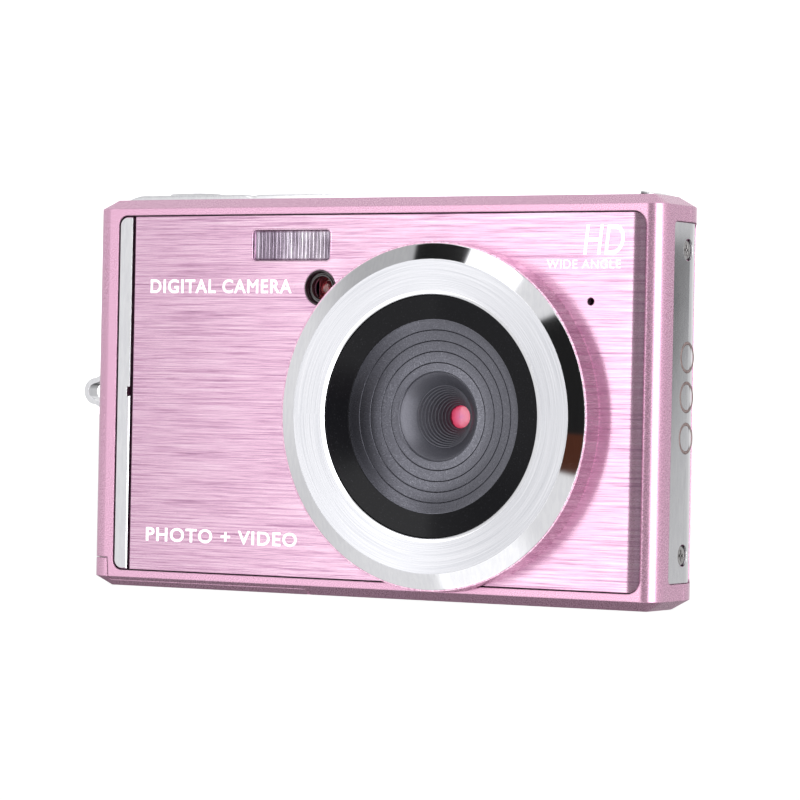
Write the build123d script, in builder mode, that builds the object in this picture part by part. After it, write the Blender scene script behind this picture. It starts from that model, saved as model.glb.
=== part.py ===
from build123d import *
import os
from math import cos, hypot, radians, sin, sqrt

os.makedirs("parts", exist_ok=True)

# A pocket digital camera: two moulded half shells, a brushed face plate, a fixed
# lens behind a stepped light baffle, a flash, a display, keys and a hinged door
# over the battery and the memory card.
#
# Millimetres. Origin at the centre of the base, front towards -Y, +X to the
# right as seen from the front, +Z up. "Depth" counts backwards from the front
# face, so a negative depth stands in front of it.

# ---------------------------------------------------------------- body size
body_width = 93.4
body_height = 57.3
wall = 1.5
front_corner_radius = 2.6
rear_corner_radius = 6.5
bevel_rise = 1.4
bevel_run = 2.4

# ---------------------------------------------------------------- clearances
seam = 0.2
running_gap = 0.15
pin_clearance = 0.05
stack_gap = 0.2
travel_gap = 0.1
cutter = 5.0

# ---------------------------------------------------------------- stack, front to rear
pocket_depth = 1.4
pocket_floor = 1.0
battery_thickness = 6.0
funnel_end_depth = 5.1
barrel_depth = 2.6
sensor_thickness = 0.45
sensor_board_thickness = 0.5
chassis_thickness = 0.5
main_board_standoff = 0.65
main_board_thickness = 1.0
display_front_gap = 0.7
display_thickness = 2.6
display_rear_gap = 0.3

front_inner = pocket_depth + pocket_floor
battery_rear = front_inner + stack_gap + battery_thickness
sensor_front = funnel_end_depth + barrel_depth
sensor_rear = sensor_front + sensor_thickness + sensor_board_thickness
chassis_front_depth = max(battery_rear + running_gap, sensor_rear + travel_gap)
chassis_rear = chassis_front_depth + chassis_thickness
parting_depth = chassis_front_depth + running_gap
main_board_front_depth = chassis_rear + main_board_standoff
board_rear = main_board_front_depth + main_board_thickness
display_rear_depth = board_rear + display_front_gap + display_thickness
inner_rear = display_rear_depth + display_rear_gap
body_depth = inner_rear + wall

left_side = -body_width / 2
right_side = body_width / 2
middle_height = body_height / 2
front_y = -body_depth / 2
inner_left = left_side + wall
inner_right = right_side - wall
inner_top = body_height - wall

# ---------------------------------------------------------------- front pocket
pocket_left = left_side + 4.06
pocket_right = right_side - 2.29
pocket_rim = 0.9
pocket_bottom = wall + pocket_rim
pocket_top = inner_top - pocket_rim
pocket_left_radius = 1.5
pocket_right_radius = 2.1

plate_recess = 0.2
plate_roll_width = 2.6
plate_roll_drop = 0.8
trim_strip_width = 2.25
trim_strip_gap = 0.53
trim_strip_recess = 0.1
catch_notch_height = 1.4
catch_notch_width = 0.5
catch_notch_rise = 0.2
strip_edge = 0.15

# ---------------------------------------------------------------- lens group
lens_x = right_side - 33.61
lens_margin = 1.75
spigot_margin = 0.24
collar_height = 3.55
collar_wall = 1.0
collar_radius = (pocket_top - pocket_bottom) / 2 - lens_margin
lens_z = pocket_bottom + spigot_margin + collar_radius - collar_wall
collar_spigot_wall = 1.2
ring_height = 4.4
ring_crest_radius = collar_radius - 2.5
ring_bore_radius = collar_radius - 7.46
ring_dish = 0.2
ring_lip = 0.3
ring_lip_drop = 0.1
ring_skirt_wall = 1.0
border_height = 3.9
border_thickness = 0.8
border_fall = 0.7
border_bore_radius = ring_bore_radius - 3.4
border_clearance = 0.08
terrace_shares = [1.0, 0.894, 0.784, 0.674, 0.561, 0.4655]
terrace_top_height = 3.0
terrace_end_height = 1.5
terrace_step = 0.14
funnel_end_radius = 1.6
funnel_rings = 7
funnel_ledge = 0.22
funnel_wall = 0.9
baffle_wall = 1.0
baffle_floor = 1.4
barrel_radius = 7.0
barrel_clearance = 1.5
element_inset = 0.2
element_radius = 2.0
element_thickness = 0.7
element_crown = 0.25
element_spacing = 1.0
filter_size = 5.0
filter_thickness = 0.3
sensor_width = 6.2
sensor_height = 5.4
sensor_board_size = 13.0

# ---------------------------------------------------------------- flash and lamp
flash_x = lens_x - 25.75
flash_lamp_gap = 1.47
flash_width = 12.9
flash_height = 4.2
flash_gap = 0.1
flash_corner = 0.6
flash_window_thickness = 1.1
flash_window_recess = 0.25
flash_rib_pitch = 0.65
flash_rib_width = 0.36
flash_rib_height = 0.15
flash_rib_margin = 0.5
reflector_depth = 4.6
reflector_wall = 0.4
reflector_taper = 0.7
tube_radius = 0.9
tube_overhang = 1.2
capacitor_radius = 2.6
capacitor_length = 20.0
capacitor_edge = 0.4
capacitor_left_gap = 2.2
capacitor_z = body_height - 8.0
lamp_radius = 2.57
lamp_collar_gap = 0.43
lamp_angle = 138.85
lamp_reach = collar_radius + lamp_collar_gap + lamp_radius
lamp_x = lens_x + lamp_reach * cos(radians(lamp_angle))
lamp_z = lens_z + lamp_reach * sin(radians(lamp_angle))
flash_z = lamp_z + lamp_radius + flash_lamp_gap + flash_height / 2
lamp_window_thickness = 0.7
lamp_ledge = 0.6
lamp_led_radius = 1.1
lamp_led_front = 0.3
lamp_led_length = 2.2
lamp_led_base = 3.2
lamp_led_base_thickness = 0.8
microphone_x = right_side - 10.78
microphone_z = lens_z + 16.28
microphone_hole_radius = 0.55
microphone_radius = 2.0
microphone_length = 1.6

# ---------------------------------------------------------------- battery bay
battery_width = 31.5
battery_height = body_height - 17.3
battery_corner = 1.2
battery_left_gap = 1.2
battery_base = wall + 1.5
contact_block_offset = 4.0
contact_block_width = 9.0
contact_block_height = 2.3
contact_front_gap = 0.6
contact_rear_gap = 0.4
contact_spring_length = 0.3
contact_pitch = 2.8
contact_pad = (1.2, 3.0)
card_width = 24.0
card_length = 32.0
card_thickness = 2.1
card_corner_cut = 4.0
card_slot_wall = 0.25
card_space = 0.1
card_left_gap = 2.2
card_drop = 0.8
card_exposed = 3.8

door_length = 37.1
door_edge_depth = 1.0
door_side_height = 4.1
door_side_front = 3.0
door_side_rear_depth = 12.5
door_pin_radius = 0.35
door_pin_overhang = 0.4
door_lug_length = 1.6
door_lug_rear_gap = 0.2
door_hook_setback = 1.0
door_hook_height = 2.0
door_hook_gap = 0.35
door_hook_reach = 0.95
door_hook_root = 0.2
door_hook_width = 3.0

# ---------------------------------------------------------------- top controls
deck_trim_left = left_side + 2.2
deck_trim_right = right_side - 2.8
deck_trim_front_depth = 3.7
deck_trim_rear_depth = body_depth - 3.7
deck_trim_rise = 0.7
deck_trim_inset = 0.5
deck_trim_taper = 3.4
deck_groove_width = 2.0
deck_groove_depth = 0.3
shutter_width = 8.8
shutter_x = deck_trim_left + 6.1 + shutter_width / 2
shutter_breadth = 6.2
shutter_end_flat = 0.1
shutter_proud = 0.4
shutter_chamfer = 0.35
shutter_travel = 0.5
power_radius = 2.7
power_x = shutter_x + shutter_width / 2 + power_radius + 1.0
power_proud = 0.05
power_chamfer = 0.1
deck_groove_x = power_x + power_radius + 1.6
button_flange = 0.35
button_flange_thickness = 0.6
button_stem_radius = 0.6
button_stem_length = 0.6
switch_rim = 0.2
spring_radius = 1.05
spring_wire_radius = 0.12
spring_turns = 3
top_board_margin = 1.0
top_board_breadth = 7.0
top_board_thickness = 0.6
top_board_corner = 0.5
switch_height = 0.2
speaker_size = (9.0, 5.4)
speaker_corner = 1.0
speaker_thickness = 2.4
speaker_offset = 1.0
speaker_slot_x = -5.4
speaker_slot_pitch = 2.2
speaker_slot_width = 0.9
speaker_slot_length = 3.6

# ---------------------------------------------------------------- rear controls
keys_x = left_side + 17.7
key_proud = 0.5
key_travel = 0.4
key_gap = 0.2
key_flange = 0.5
key_flange_thickness = 0.5
key_chamfer = 0.2
key_stem_radius = 0.8
key_stem_length = 0.25
key_switch_rim = 0.4
pad_z = 0.4625 * body_height
pad_outer_radius = 0.1431 * body_height
pad_inner_radius = 4.3
pad_split = 0.5
pad_flange_shrink = 0.1
ok_radius = 3.5
ok_flange = 0.35
small_key_width = 6.6
small_key_height = 4.4
small_key_offset = 5.2
upper_keys_z = 0.7016 * body_height
lower_keys_z = 0.2234 * body_height
rocker_z = 0.8586 * body_height
rocker_width = 15.0
rocker_height = 5.0
rocker_proud = 0.6
rocker_chamfer = 0.25
rocker_pin_radius = 0.4
rocker_boss_radius = 0.75
rocker_boss_gap = 0.3
rocker_pin_depth = inner_rear - 0.6
rocker_lug_length = 1.0
rocker_lug_half_width = 1.2
rocker_lug_reach = 0.8
rocker_foot_offset = 5.0
rocker_foot_radius = 0.7
rocker_foot_reach = 0.2
key_board_thickness = 0.7
key_board_width = 24.0
key_board_shift = 1.0
key_board_rise = 1.4
indicator_radius = 0.8
indicator_z = upper_keys_z + 0.0576 * body_height

# ---------------------------------------------------------------- display
display_x = right_side - 35.2
display_width = 52.5
display_height = body_height - 14.8
display_view_width = 50.5
display_view_height = display_height - 4.0
window_width = 57.0
window_height = body_height - 11.3
window_thickness = 1.0
window_corner = 2.0

# ---------------------------------------------------------------- structure
chassis_base = wall + 3.1
chassis_top = inner_top - 3.6
chassis_left_gap = 0.6
chassis_right_gap = 0.4
screw_block = 4.4
screw_block_depth = 3.2
screw_block_length = 3.0
screw_head_radius = 1.4
screw_head_thickness = 0.7
screw_shank_radius = 0.7
screw_length = 3.6
screw_seat = 1.2
screw_cross = 1.5
screw_cross_width = 0.32
screw_cross_depth = 0.4
side_screw_heights = [7.6, body_height - 7.45]
bottom_screw_places = [left_side + door_length + 5.6, right_side - 12.7]
main_board_left_gap = 1.2
main_board_right = right_side - 6.7
board_screw_inset = 2.2
board_screw_height = 4.2
board_screw_head = 0.5
processor_size = 12.0
processor_thickness = 0.6
socket_thread_radius = 3.175
socket_outer_radius = 4.6
socket_height = 6.4
socket_thread_length = 5.6
socket_groove = 0.4
socket_groove_height = 1.0
socket_clearance = 1.0

side_trim_front_depth = 4.15
side_trim_rear_depth = body_depth - 2.9
side_trim_bottom = 3.8
side_trim_top = body_height - 3.7
side_trim_corner = 0.7
side_trim_recess = 0.25
side_trim_thickness = 0.6

lug_z = middle_height + 0.15
lug_depth = 6.5
lug_reach = 5.3
lug_tip_radius = 2.0
lug_base_half_height = 3.5
lug_bar = 0.8
lug_thickness = 2.2
lug_flange_thickness = 0.7
lug_flange_overlap = 0.8
lug_flange_rear = 0.3
lug_taper = 1.4

usb_width = 7.4
usb_height = 2.5
usb_length = 5.2
usb_shell = 0.25
usb_inset = 0.3
usb_back = 0.8
usb_tongue_gap = 0.9
usb_tongue_inset = 1.4
usb_z = body_height - 9.5
usb_front_depth = chassis_rear + travel_gap


# ---------------------------------------------------------------- helpers
def facing(depth):
    """A plane that faces forward; its axes are X and Z."""
    return Plane.XZ.offset(-front_y - depth)


def level(height):
    """A plane that faces up; its axes are X and Y."""
    return Plane.XY.offset(height)


def sideways(x):
    """A plane that faces right; its axes are Y and Z."""
    return Plane.YZ.offset(x)


def save(piece, name):
    """Label a finished piece and write it."""
    piece.part.label = name
    export_step(piece.part, f"parts/{name}.step")


def block(x_range, depth_range, z_range):
    """A plain box between two values on each axis."""
    (x0, x1), (d0, d1), (z0, z1) = x_range, depth_range, z_range
    with BuildPart() as box:
        with BuildSketch(facing(d0)):
            with Locations(((x0 + x1) / 2, (z0 + z1) / 2)):
                Rectangle(x1 - x0, z1 - z0)
        extrude(amount=d0 - d1)
    return box.part


def peg(plane, places, radius, length):
    """Round pegs that stand on a plane and rise along its normal."""
    with BuildPart() as pegs:
        with BuildSketch(plane):
            with Locations(*places):
                Circle(radius)
        extrude(amount=length)
    return pegs.part


def tile(plane, centre, size, corner, length):
    """A rounded rectangle raised from a plane."""
    with BuildPart() as slab:
        with BuildSketch(plane):
            with Locations(centre):
                RectangleRounded(*size, corner)
        extrude(amount=length)
    return slab.part


def body_outline(inset, round_front=True):
    """The body's plan outline, drawn in from the real one."""
    width = body_width - 2 * inset
    depth = body_depth - 2 * inset
    with BuildSketch() as plan:
        Rectangle(width, depth)
        if round_front:
            fillet(plan.vertices().group_by(Axis.Y)[0], front_corner_radius - inset)
        fillet(plan.vertices().group_by(Axis.Y)[-1], rear_corner_radius - inset)
    return plan.sketch


def body_form(inset, round_front=True):
    """The bevelled outside of the body, or the hollow that leaves an even wall."""
    shrink = 1 / bevel_run + 1 / bevel_rise - hypot(1 / bevel_run, 1 / bevel_rise)
    bevel_scale = 1 - inset * shrink
    with BuildPart() as form:
        with BuildSketch(level(inset)):
            add(body_outline(inset, round_front))
        extrude(amount=body_height - 2 * inset)
        for face in (form.faces().sort_by(Axis.Z)[0], form.faces().sort_by(Axis.Z)[-1]):
            chamfer(face.edges(), bevel_run * bevel_scale, bevel_rise * bevel_scale, reference=face)
    return form.part


lens_axis = Axis((lens_x, front_y, lens_z), (0, 1, 0))
lens_section = Plane(origin=(lens_x, front_y, lens_z), x_dir=(1, 0, 0), z_dir=(0, 0, -1))


def turned(points):
    """A solid turned about the lens axis from points (radius, height in front of the face)."""
    with BuildPart() as shape:
        with BuildSketch(lens_section):
            with BuildLine():
                Polyline(*points, close=True)
            make_face()
        revolve(axis=lens_axis)
    return shape.part


def lens_bore(radius, front, rear):
    """A round cutter on the lens axis between two depths."""
    return turned([(0, -front), (radius, -front), (radius, -rear), (0, -rear)])


# ---------------------------------------------------------------- shared cutters
outer_form = body_form(0)
inner_form = body_form(wall, round_front=False)
lens_opening_radius = collar_radius + running_gap
collar_spigot_radius = collar_radius - collar_wall
frame_bore_radius = barrel_radius + barrel_clearance

# The hollow stops behind the pocket floor.
hollow = inner_form & block((left_side, right_side), (front_inner, body_depth), (0, body_height))

# Door: it turns about a pin in the middle of its own wall, so its end is a bullnose
# round the pin and needs no more room above the floor than the wall itself.
door_right = left_side + door_length
door_nose_radius = wall / 2
door_pivot_x = door_right - door_nose_radius
door_rear_edge = body_depth - door_edge_depth
pivot_plane_place = (door_pivot_x, door_nose_radius)
hinge_front = front_inner + running_gap
hinge_rear = body_depth - bevel_run - door_lug_rear_gap
hinge_lug_fronts = (hinge_front, hinge_rear - door_lug_length)


def door_space(gap):
    """The part of the body that is door; with a gap, the room that it swings in."""
    with BuildPart() as space:
        with BuildSketch(facing(door_edge_depth - gap)):
            with BuildLine():
                Polyline(
                    (left_side - cutter, -cutter),
                    (left_side - cutter, wall + gap),
                    (door_pivot_x, wall + gap),
                    (door_pivot_x, -cutter),
                    close=True,
                )
            make_face()
            with Locations(pivot_plane_place):
                Circle(door_nose_radius + gap)
            if gap > 0:
                with Locations((door_pivot_x, 0)):
                    Rectangle(wall + 2 * gap, wall)
        extrude(amount=door_edge_depth - door_rear_edge - 2 * gap)
        with BuildSketch(facing(-cutter)):
            with BuildLine():
                Polyline(
                    (left_side - cutter, -cutter),
                    (left_side - cutter, door_side_height + gap),
                    (left_side + door_side_front + gap, door_side_height + gap),
                    (left_side + door_side_front + gap + bevel_rise / 2, -cutter),
                    close=True,
                )
            make_face()
        extrude(amount=-cutter - door_side_rear_depth - gap)
    return space.part


def hinge_lug(front):
    """A knuckle that reaches from the shell's floor round the hinge pin."""
    with BuildPart() as lug:
        with BuildSketch(facing(front)):
            with Locations(pivot_plane_place):
                Circle(door_nose_radius)
            with Locations((door_pivot_x + wall / 2, wall / 2)):
                Rectangle(wall, wall)
            with Locations(pivot_plane_place):
                Circle(door_pin_radius + pin_clearance, mode=Mode.SUBTRACT)
        extrude(amount=-door_lug_length)
    return lug.part


door_cut = door_space(running_gap)

# Screw seats along the parting line.
side_screw_planes = [
    Plane(origin=(right_side, front_y + parting_depth, z), x_dir=(0, 1, 0), z_dir=(1, 0, 0))
    for z in side_screw_heights
]
bottom_screw_planes = [
    Plane(origin=(x, front_y + parting_depth, 0), x_dir=(1, 0, 0), z_dir=(0, 0, -1))
    for x in bottom_screw_places
]


def screw_cut(plane):
    """The counterbore and the clearance hole of one screw."""
    with BuildPart() as cut:
        with BuildSketch(plane.offset(cutter)):
            Circle(screw_head_radius + running_gap)
        extrude(amount=-cutter - screw_seat)
        with BuildSketch(plane):
            Circle(screw_shank_radius + pin_clearance)
        extrude(amount=-wall - travel_gap)
    return cut.part


def screw(plane):
    """A small cross-head screw, its head sunk below the surface."""
    with BuildPart() as one_screw:
        with BuildSketch(plane.offset(-screw_seat)):
            Circle(screw_head_radius)
        extrude(amount=screw_head_thickness)
        head_edge = one_screw.edges().filter_by(GeomType.CIRCLE).sort_by(plane_axis(plane))[-1]
        fillet(head_edge, screw_head_thickness / 3)
        with BuildSketch(plane.offset(-screw_seat)):
            Circle(screw_shank_radius)
        extrude(amount=-screw_length)
        with BuildSketch(plane.offset(screw_head_thickness - screw_seat)):
            Rectangle(screw_cross, screw_cross_width)
            Rectangle(screw_cross_width, screw_cross)
        extrude(amount=-screw_cross_depth, mode=Mode.SUBTRACT)
    return one_screw.part


def plane_axis(plane):
    """The axis along a plane's normal."""
    return Axis(plane.origin, plane.z_dir)


screw_planes = side_screw_planes + bottom_screw_planes

# The chrome trim on the right side: a band of the plan outline seen through a
# rounded window.


def side_band(outer_inset, inner_inset, grow):
    """A band of the plan outline between two insets, cut to the trim's window."""
    with BuildPart() as band:
        with BuildSketch(level(0)):
            if outer_inset > 0:
                add(body_outline(outer_inset))
            else:
                Rectangle(body_width + cutter, body_depth + cutter)
            add(body_outline(inner_inset), mode=Mode.SUBTRACT)
        extrude(amount=body_height)
        with BuildSketch(sideways(0)):
            middle_depth = (side_trim_front_depth + side_trim_rear_depth) / 2
            with Locations((front_y + middle_depth, (side_trim_bottom + side_trim_top) / 2)):
                RectangleRounded(
                    side_trim_rear_depth - side_trim_front_depth + 2 * grow,
                    side_trim_top - side_trim_bottom + 2 * grow,
                    side_trim_corner + grow,
                )
        extrude(amount=right_side + cutter, mode=Mode.INTERSECT)
    return band.part


side_trim_cut = side_band(0, side_trim_recess + side_trim_thickness, seam / 2)

# The raised trim on the top deck.
deck_trim_base = body_height - deck_trim_inset
deck_trim_top = body_height + deck_trim_rise
deck_trim_middle = (deck_trim_left + deck_trim_right) / 2
deck_trim_length = deck_trim_right - deck_trim_left
deck_trim_breadth = deck_trim_rear_depth - deck_trim_front_depth
deck_middle_y = front_y + (deck_trim_front_depth + deck_trim_rear_depth) / 2


def deck_outline(grow):
    """The top trim's plan: a long bar with round ends."""
    with BuildSketch() as plan:
        with Locations((deck_trim_middle, deck_middle_y)):
            RectangleRounded(deck_trim_length + 2 * grow, deck_trim_breadth + 2 * grow, deck_trim_breadth / 3)
    return plan.sketch


def shutter_outline(grow):
    """The shutter button's plan."""
    with BuildSketch() as plan:
        with Locations((shutter_x, deck_middle_y)):
            RectangleRounded(shutter_width + 2 * grow, shutter_breadth + 2 * grow,
                             shutter_breadth / 2 - shutter_end_flat)
    return plan.sketch


def power_outline(grow):
    """The power button's plan."""
    with BuildSketch() as plan:
        with Locations((power_x, deck_middle_y)):
            Circle(power_radius + grow)
    return plan.sketch


deck_slots = [
    (speaker_slot_x + step * speaker_slot_pitch, deck_middle_y) for step in (-1.5, -0.5, 0.5, 1.5)
]


def deck_openings():
    """Button holes and speaker slots through the top deck."""
    with BuildPart() as holes:
        with BuildSketch(level(inner_top - cutter)):
            add(shutter_outline(running_gap))
            add(power_outline(running_gap))
            with Locations(*deck_slots):
                SlotOverall(speaker_slot_length, speaker_slot_width, rotation=90)
        extrude(amount=wall + 2 * cutter)
    return holes.part


deck_holes = deck_openings()

# Keys on the rear face: outlines in the X-Z plane.
pad_directions = {"up_key": 90, "left_key": 0, "down_key": 270, "right_key": 180}
small_keys = {
    "mode_button": (keys_x + small_key_offset, upper_keys_z),
    "playback_button": (keys_x - small_key_offset, upper_keys_z),
    "menu_button": (keys_x + small_key_offset, lower_keys_z),
    "delete_button": (keys_x - small_key_offset, lower_keys_z),
}


def pad_outline(angle, grow):
    """One quarter of the direction pad, centred on an angle in degrees."""
    with BuildSketch() as plan:
        with Locations((keys_x, pad_z)):
            Circle(pad_outer_radius + grow)
            Circle(pad_inner_radius - grow, mode=Mode.SUBTRACT)
        reach = 2 * pad_outer_radius
        side = pad_split / 2 - grow
        with BuildSketch(mode=Mode.PRIVATE) as wedge:
            with BuildLine():
                Polyline((side * sqrt(2), 0), (reach, reach - side * sqrt(2)),
                         (reach, side * sqrt(2) - reach), close=True)
            make_face()
        turned_wedge = wedge.sketch.rotate(Axis.Z, angle).moved(Location((keys_x, pad_z, 0)))
        add(turned_wedge, mode=Mode.INTERSECT)
    return plan.sketch


def small_key_outline(place, grow):
    """A small rounded key."""
    with BuildSketch() as plan:
        with Locations(place):
            RectangleRounded(small_key_width + 2 * grow, small_key_height + 2 * grow, small_key_height / 2.5)
    return plan.sketch


def round_outline(place, radius):
    """A round key or hole."""
    with BuildSketch() as plan:
        with Locations(place):
            Circle(radius)
    return plan.sketch


def rocker_outline(grow):
    """The zoom rocker."""
    with BuildSketch() as plan:
        with Locations((keys_x, rocker_z)):
            RectangleRounded(rocker_width + 2 * grow, rocker_height + 2 * grow, rocker_height / 2.2)
    return plan.sketch


def key_holes():
    """Every hole that a rear key passes through."""
    with BuildPart() as holes:
        with BuildSketch(facing(body_depth + cutter)):
            for angle in pad_directions.values():
                add(pad_outline(angle, key_gap))
            add(round_outline((keys_x, pad_z), ok_radius + key_gap))
            for place in small_keys.values():
                add(small_key_outline(place, key_gap))
            add(rocker_outline(key_gap))
            add(round_outline((keys_x, indicator_z), indicator_radius))
        extrude(amount=wall + 2 * cutter)
    return holes.part


rear_key_holes = key_holes()

# Strap lug outline, seen from the front.
lug_inner_x = inner_left + lug_flange_thickness


def lug_outline(shrink):
    """A pointed loop with a round tip, drawn in by a bar's width."""
    tip_x = left_side - lug_reach + lug_tip_radius
    base = lug_base_half_height - lug_taper * shrink
    with BuildSketch() as plan:
        with BuildLine():
            Polyline(
                (inner_left, lug_z - base),
                (inner_left, lug_z + base),
                (left_side - shrink / 2, lug_z + base),
                (tip_x, lug_z + lug_tip_radius - shrink),
                (tip_x, lug_z - lug_tip_radius + shrink),
                (left_side - shrink / 2, lug_z - base),
                close=True,
            )
        make_face()
        with Locations((tip_x, lug_z)):
            Circle(lug_tip_radius - shrink)
    return plan.sketch


# USB socket space in the left side.
usb_left = left_side + usb_inset
usb_depths = (usb_front_depth, usb_front_depth + usb_height)
usb_heights = (usb_z - usb_width / 2, usb_z + usb_width / 2)
usb_cut = block(
    (left_side - cutter, inner_left + cutter),
    (usb_depths[0] - travel_gap, usb_depths[1] + travel_gap),
    (usb_heights[0] - travel_gap, usb_heights[1] + travel_gap),
)
lug_cut = block(
    (left_side - cutter, inner_left + travel_gap),
    (lug_depth - lug_thickness / 2 - travel_gap, lug_depth + lug_thickness / 2 + travel_gap),
    (lug_z - lug_base_half_height - travel_gap, lug_z + lug_base_half_height + travel_gap),
)
socket_cut = peg(level(-cutter), [(lens_x, 0)], socket_outer_radius, cutter + wall + travel_gap)

deck_recess = tile(level(deck_trim_base), (deck_trim_middle, deck_middle_y),
                   (deck_trim_length + seam, deck_trim_breadth + seam), deck_trim_breadth / 3, cutter)

shell_cuts = [door_cut, side_trim_cut, deck_recess, deck_holes, usb_cut, lug_cut, socket_cut]
shell_cuts += [screw_cut(plane) for plane in screw_planes]

# ---------------------------------------------------------------- shells
pocket_width = pocket_right - pocket_left
pocket_height = pocket_top - pocket_bottom
pocket_x = (pocket_left + pocket_right) / 2
pocket_z = (pocket_bottom + pocket_top) / 2


def pocket_outline(inset):
    """The face pocket's outline, tighter at the left corners."""
    with BuildSketch() as plan:
        with Locations((pocket_x, pocket_z)):
            Rectangle(pocket_width - 2 * inset, pocket_height - 2 * inset)
        fillet(plan.vertices().group_by(Axis.X)[0], pocket_left_radius - inset)
        fillet(plan.vertices().group_by(Axis.X)[-1], pocket_right_radius - inset)
    return plan.sketch


flash_hole_size = (flash_width + 2 * flash_gap, flash_height + 2 * flash_gap)

with BuildPart() as front_frame:
    add(outer_form)
    split(bisect_by=facing(parting_depth), keep=Keep.TOP)
    add(hollow, mode=Mode.SUBTRACT)
    with BuildSketch(facing(0)):
        add(pocket_outline(0))
    extrude(amount=-pocket_depth, mode=Mode.SUBTRACT)
    add(lens_bore(lens_opening_radius, -cutter, plate_recess + seam / 4), mode=Mode.SUBTRACT)
    add(lens_bore(frame_bore_radius, 0, front_inner + cutter), mode=Mode.SUBTRACT)
    with BuildSketch(facing(0)):
        with Locations((flash_x, flash_z)):
            RectangleRounded(*flash_hole_size, flash_corner)
        with Locations((lamp_x, lamp_z)):
            Circle(lamp_radius - lamp_ledge)
        with Locations((microphone_x, microphone_z)):
            Circle(microphone_hole_radius)
    extrude(amount=-front_inner, mode=Mode.SUBTRACT)
    add(shell_cuts, mode=Mode.SUBTRACT)
    add(hinge_lug(hinge_lug_fronts[0]))
save(front_frame, "front_frame")

window_place = (display_x, middle_height)
rocker_lug_places = [
    (rocker_z - rocker_height / 2 - key_gap - rocker_lug_length, rocker_lug_length),
    (rocker_z + rocker_height / 2 + key_gap, rocker_lug_length),
]
rocker_pin_y = front_y + rocker_pin_depth

with BuildPart() as rear_shell:
    add(outer_form)
    split(bisect_by=facing(parting_depth), keep=Keep.BOTTOM)
    add(hollow, mode=Mode.SUBTRACT)
    add(tile(facing(body_depth - window_thickness - seam / 4), window_place,
             (window_width + seam, window_height + seam), window_corner, -cutter), mode=Mode.SUBTRACT)
    add(tile(facing(inner_rear - cutter), window_place,
             (display_view_width, display_view_height), window_corner / 2, -2 * cutter), mode=Mode.SUBTRACT)
    add(rear_key_holes, mode=Mode.SUBTRACT)
    add(shell_cuts, mode=Mode.SUBTRACT)
    add(hinge_lug(hinge_lug_fronts[1]))
    for base, length in rocker_lug_places:
        add(block((keys_x - rocker_lug_half_width, keys_x + rocker_lug_half_width),
                  (rocker_pin_depth - rocker_lug_reach, inner_rear), (base, base + length)))
        add(peg(level(base), [(keys_x, rocker_pin_y)], rocker_pin_radius, length), mode=Mode.SUBTRACT)
save(rear_shell, "rear_shell")

# ---------------------------------------------------------------- face
plate_left = pocket_left + seam + trim_strip_width + trim_strip_gap
plate_right = pocket_right - seam
plate_bottom = pocket_bottom + seam
plate_top = pocket_top - seam
plate_bend = plate_right - plate_roll_width

with BuildPart() as face_plate:
    with BuildSketch(level(plate_bottom)):
        with BuildLine():
            front_line = Line((plate_left, front_y + plate_recess), (plate_bend, front_y + plate_recess))
            roll_end = (plate_right, front_y + plate_recess + plate_roll_drop)
            TangentArc(front_line @ 1, roll_end, tangent=front_line % 1)
            Polyline(roll_end, (plate_right, front_y + pocket_depth),
                     (plate_left, front_y + pocket_depth), front_line @ 0)
        make_face()
    extrude(amount=plate_top - plate_bottom)
    with BuildSketch(facing(0)):
        add(pocket_outline(seam))
    extrude(amount=-pocket_depth, mode=Mode.INTERSECT)
    add(lens_bore(collar_spigot_radius + seam / 2, -cutter, cutter), mode=Mode.SUBTRACT)
    with BuildSketch(facing(0)):
        with Locations((flash_x, flash_z)):
            RectangleRounded(*flash_hole_size, flash_corner)
        with Locations((lamp_x, lamp_z)):
            Circle(lamp_radius)
        with Locations((microphone_x, microphone_z)):
            Circle(microphone_hole_radius)
    extrude(amount=-cutter, mode=Mode.SUBTRACT)
save(face_plate, "face_plate")

with BuildPart() as left_trim:
    with BuildSketch(facing(trim_strip_recess)):
        add(pocket_outline(seam))
        strip_right = pocket_left + seam + trim_strip_width
        with Locations(((strip_right + right_side) / 2, middle_height)):
            Rectangle(right_side - strip_right, body_height, mode=Mode.SUBTRACT)
        with Locations((strip_right, middle_height + catch_notch_rise)):
            Rectangle(2 * catch_notch_width, catch_notch_height, mode=Mode.SUBTRACT)
    extrude(amount=trim_strip_recess - pocket_depth)
    front_edges = left_trim.faces().sort_by(Axis.Y)[0].edges()
    chamfer(front_edges.filter_by(Axis.Z).sort_by(SortBy.LENGTH)[-2:], strip_edge)
save(left_trim, "left_trim")

# ---------------------------------------------------------------- lens group
spigot_bore = collar_spigot_radius - collar_spigot_wall
skirt_radius = spigot_bore - seam / 2
window_seat = border_height - border_thickness
baffle_radius = ring_bore_radius - border_clearance

with BuildPart() as lens_collar:
    add(turned([
        (collar_radius, collar_height),
        (collar_radius, -plate_recess),
        (collar_spigot_radius, -plate_recess),
        (collar_spigot_radius, -pocket_depth),
        (spigot_bore, -pocket_depth),
        (spigot_bore, collar_height),
    ]))
save(lens_collar, "lens_collar")

with BuildPart() as lens_ring:
    add(turned([
        (collar_radius, collar_height),
        (ring_crest_radius, ring_height),
        (ring_bore_radius + ring_lip, ring_height - ring_dish),
        (ring_bore_radius, ring_height - ring_dish - ring_lip_drop),
        (ring_bore_radius, window_seat - border_thickness),
        (skirt_radius - ring_skirt_wall, window_seat - border_thickness),
        (skirt_radius - ring_skirt_wall, -pocket_depth),
        (skirt_radius, -pocket_depth),
        (skirt_radius, collar_height),
    ]))
save(lens_ring, "lens_ring")

with BuildPart() as window_border:
    add(turned([
        (baffle_radius, border_height),
        (border_bore_radius, border_height - border_fall),
        (border_bore_radius, window_seat),
        (baffle_radius, window_seat),
    ]))
save(window_border, "window_border")


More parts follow.
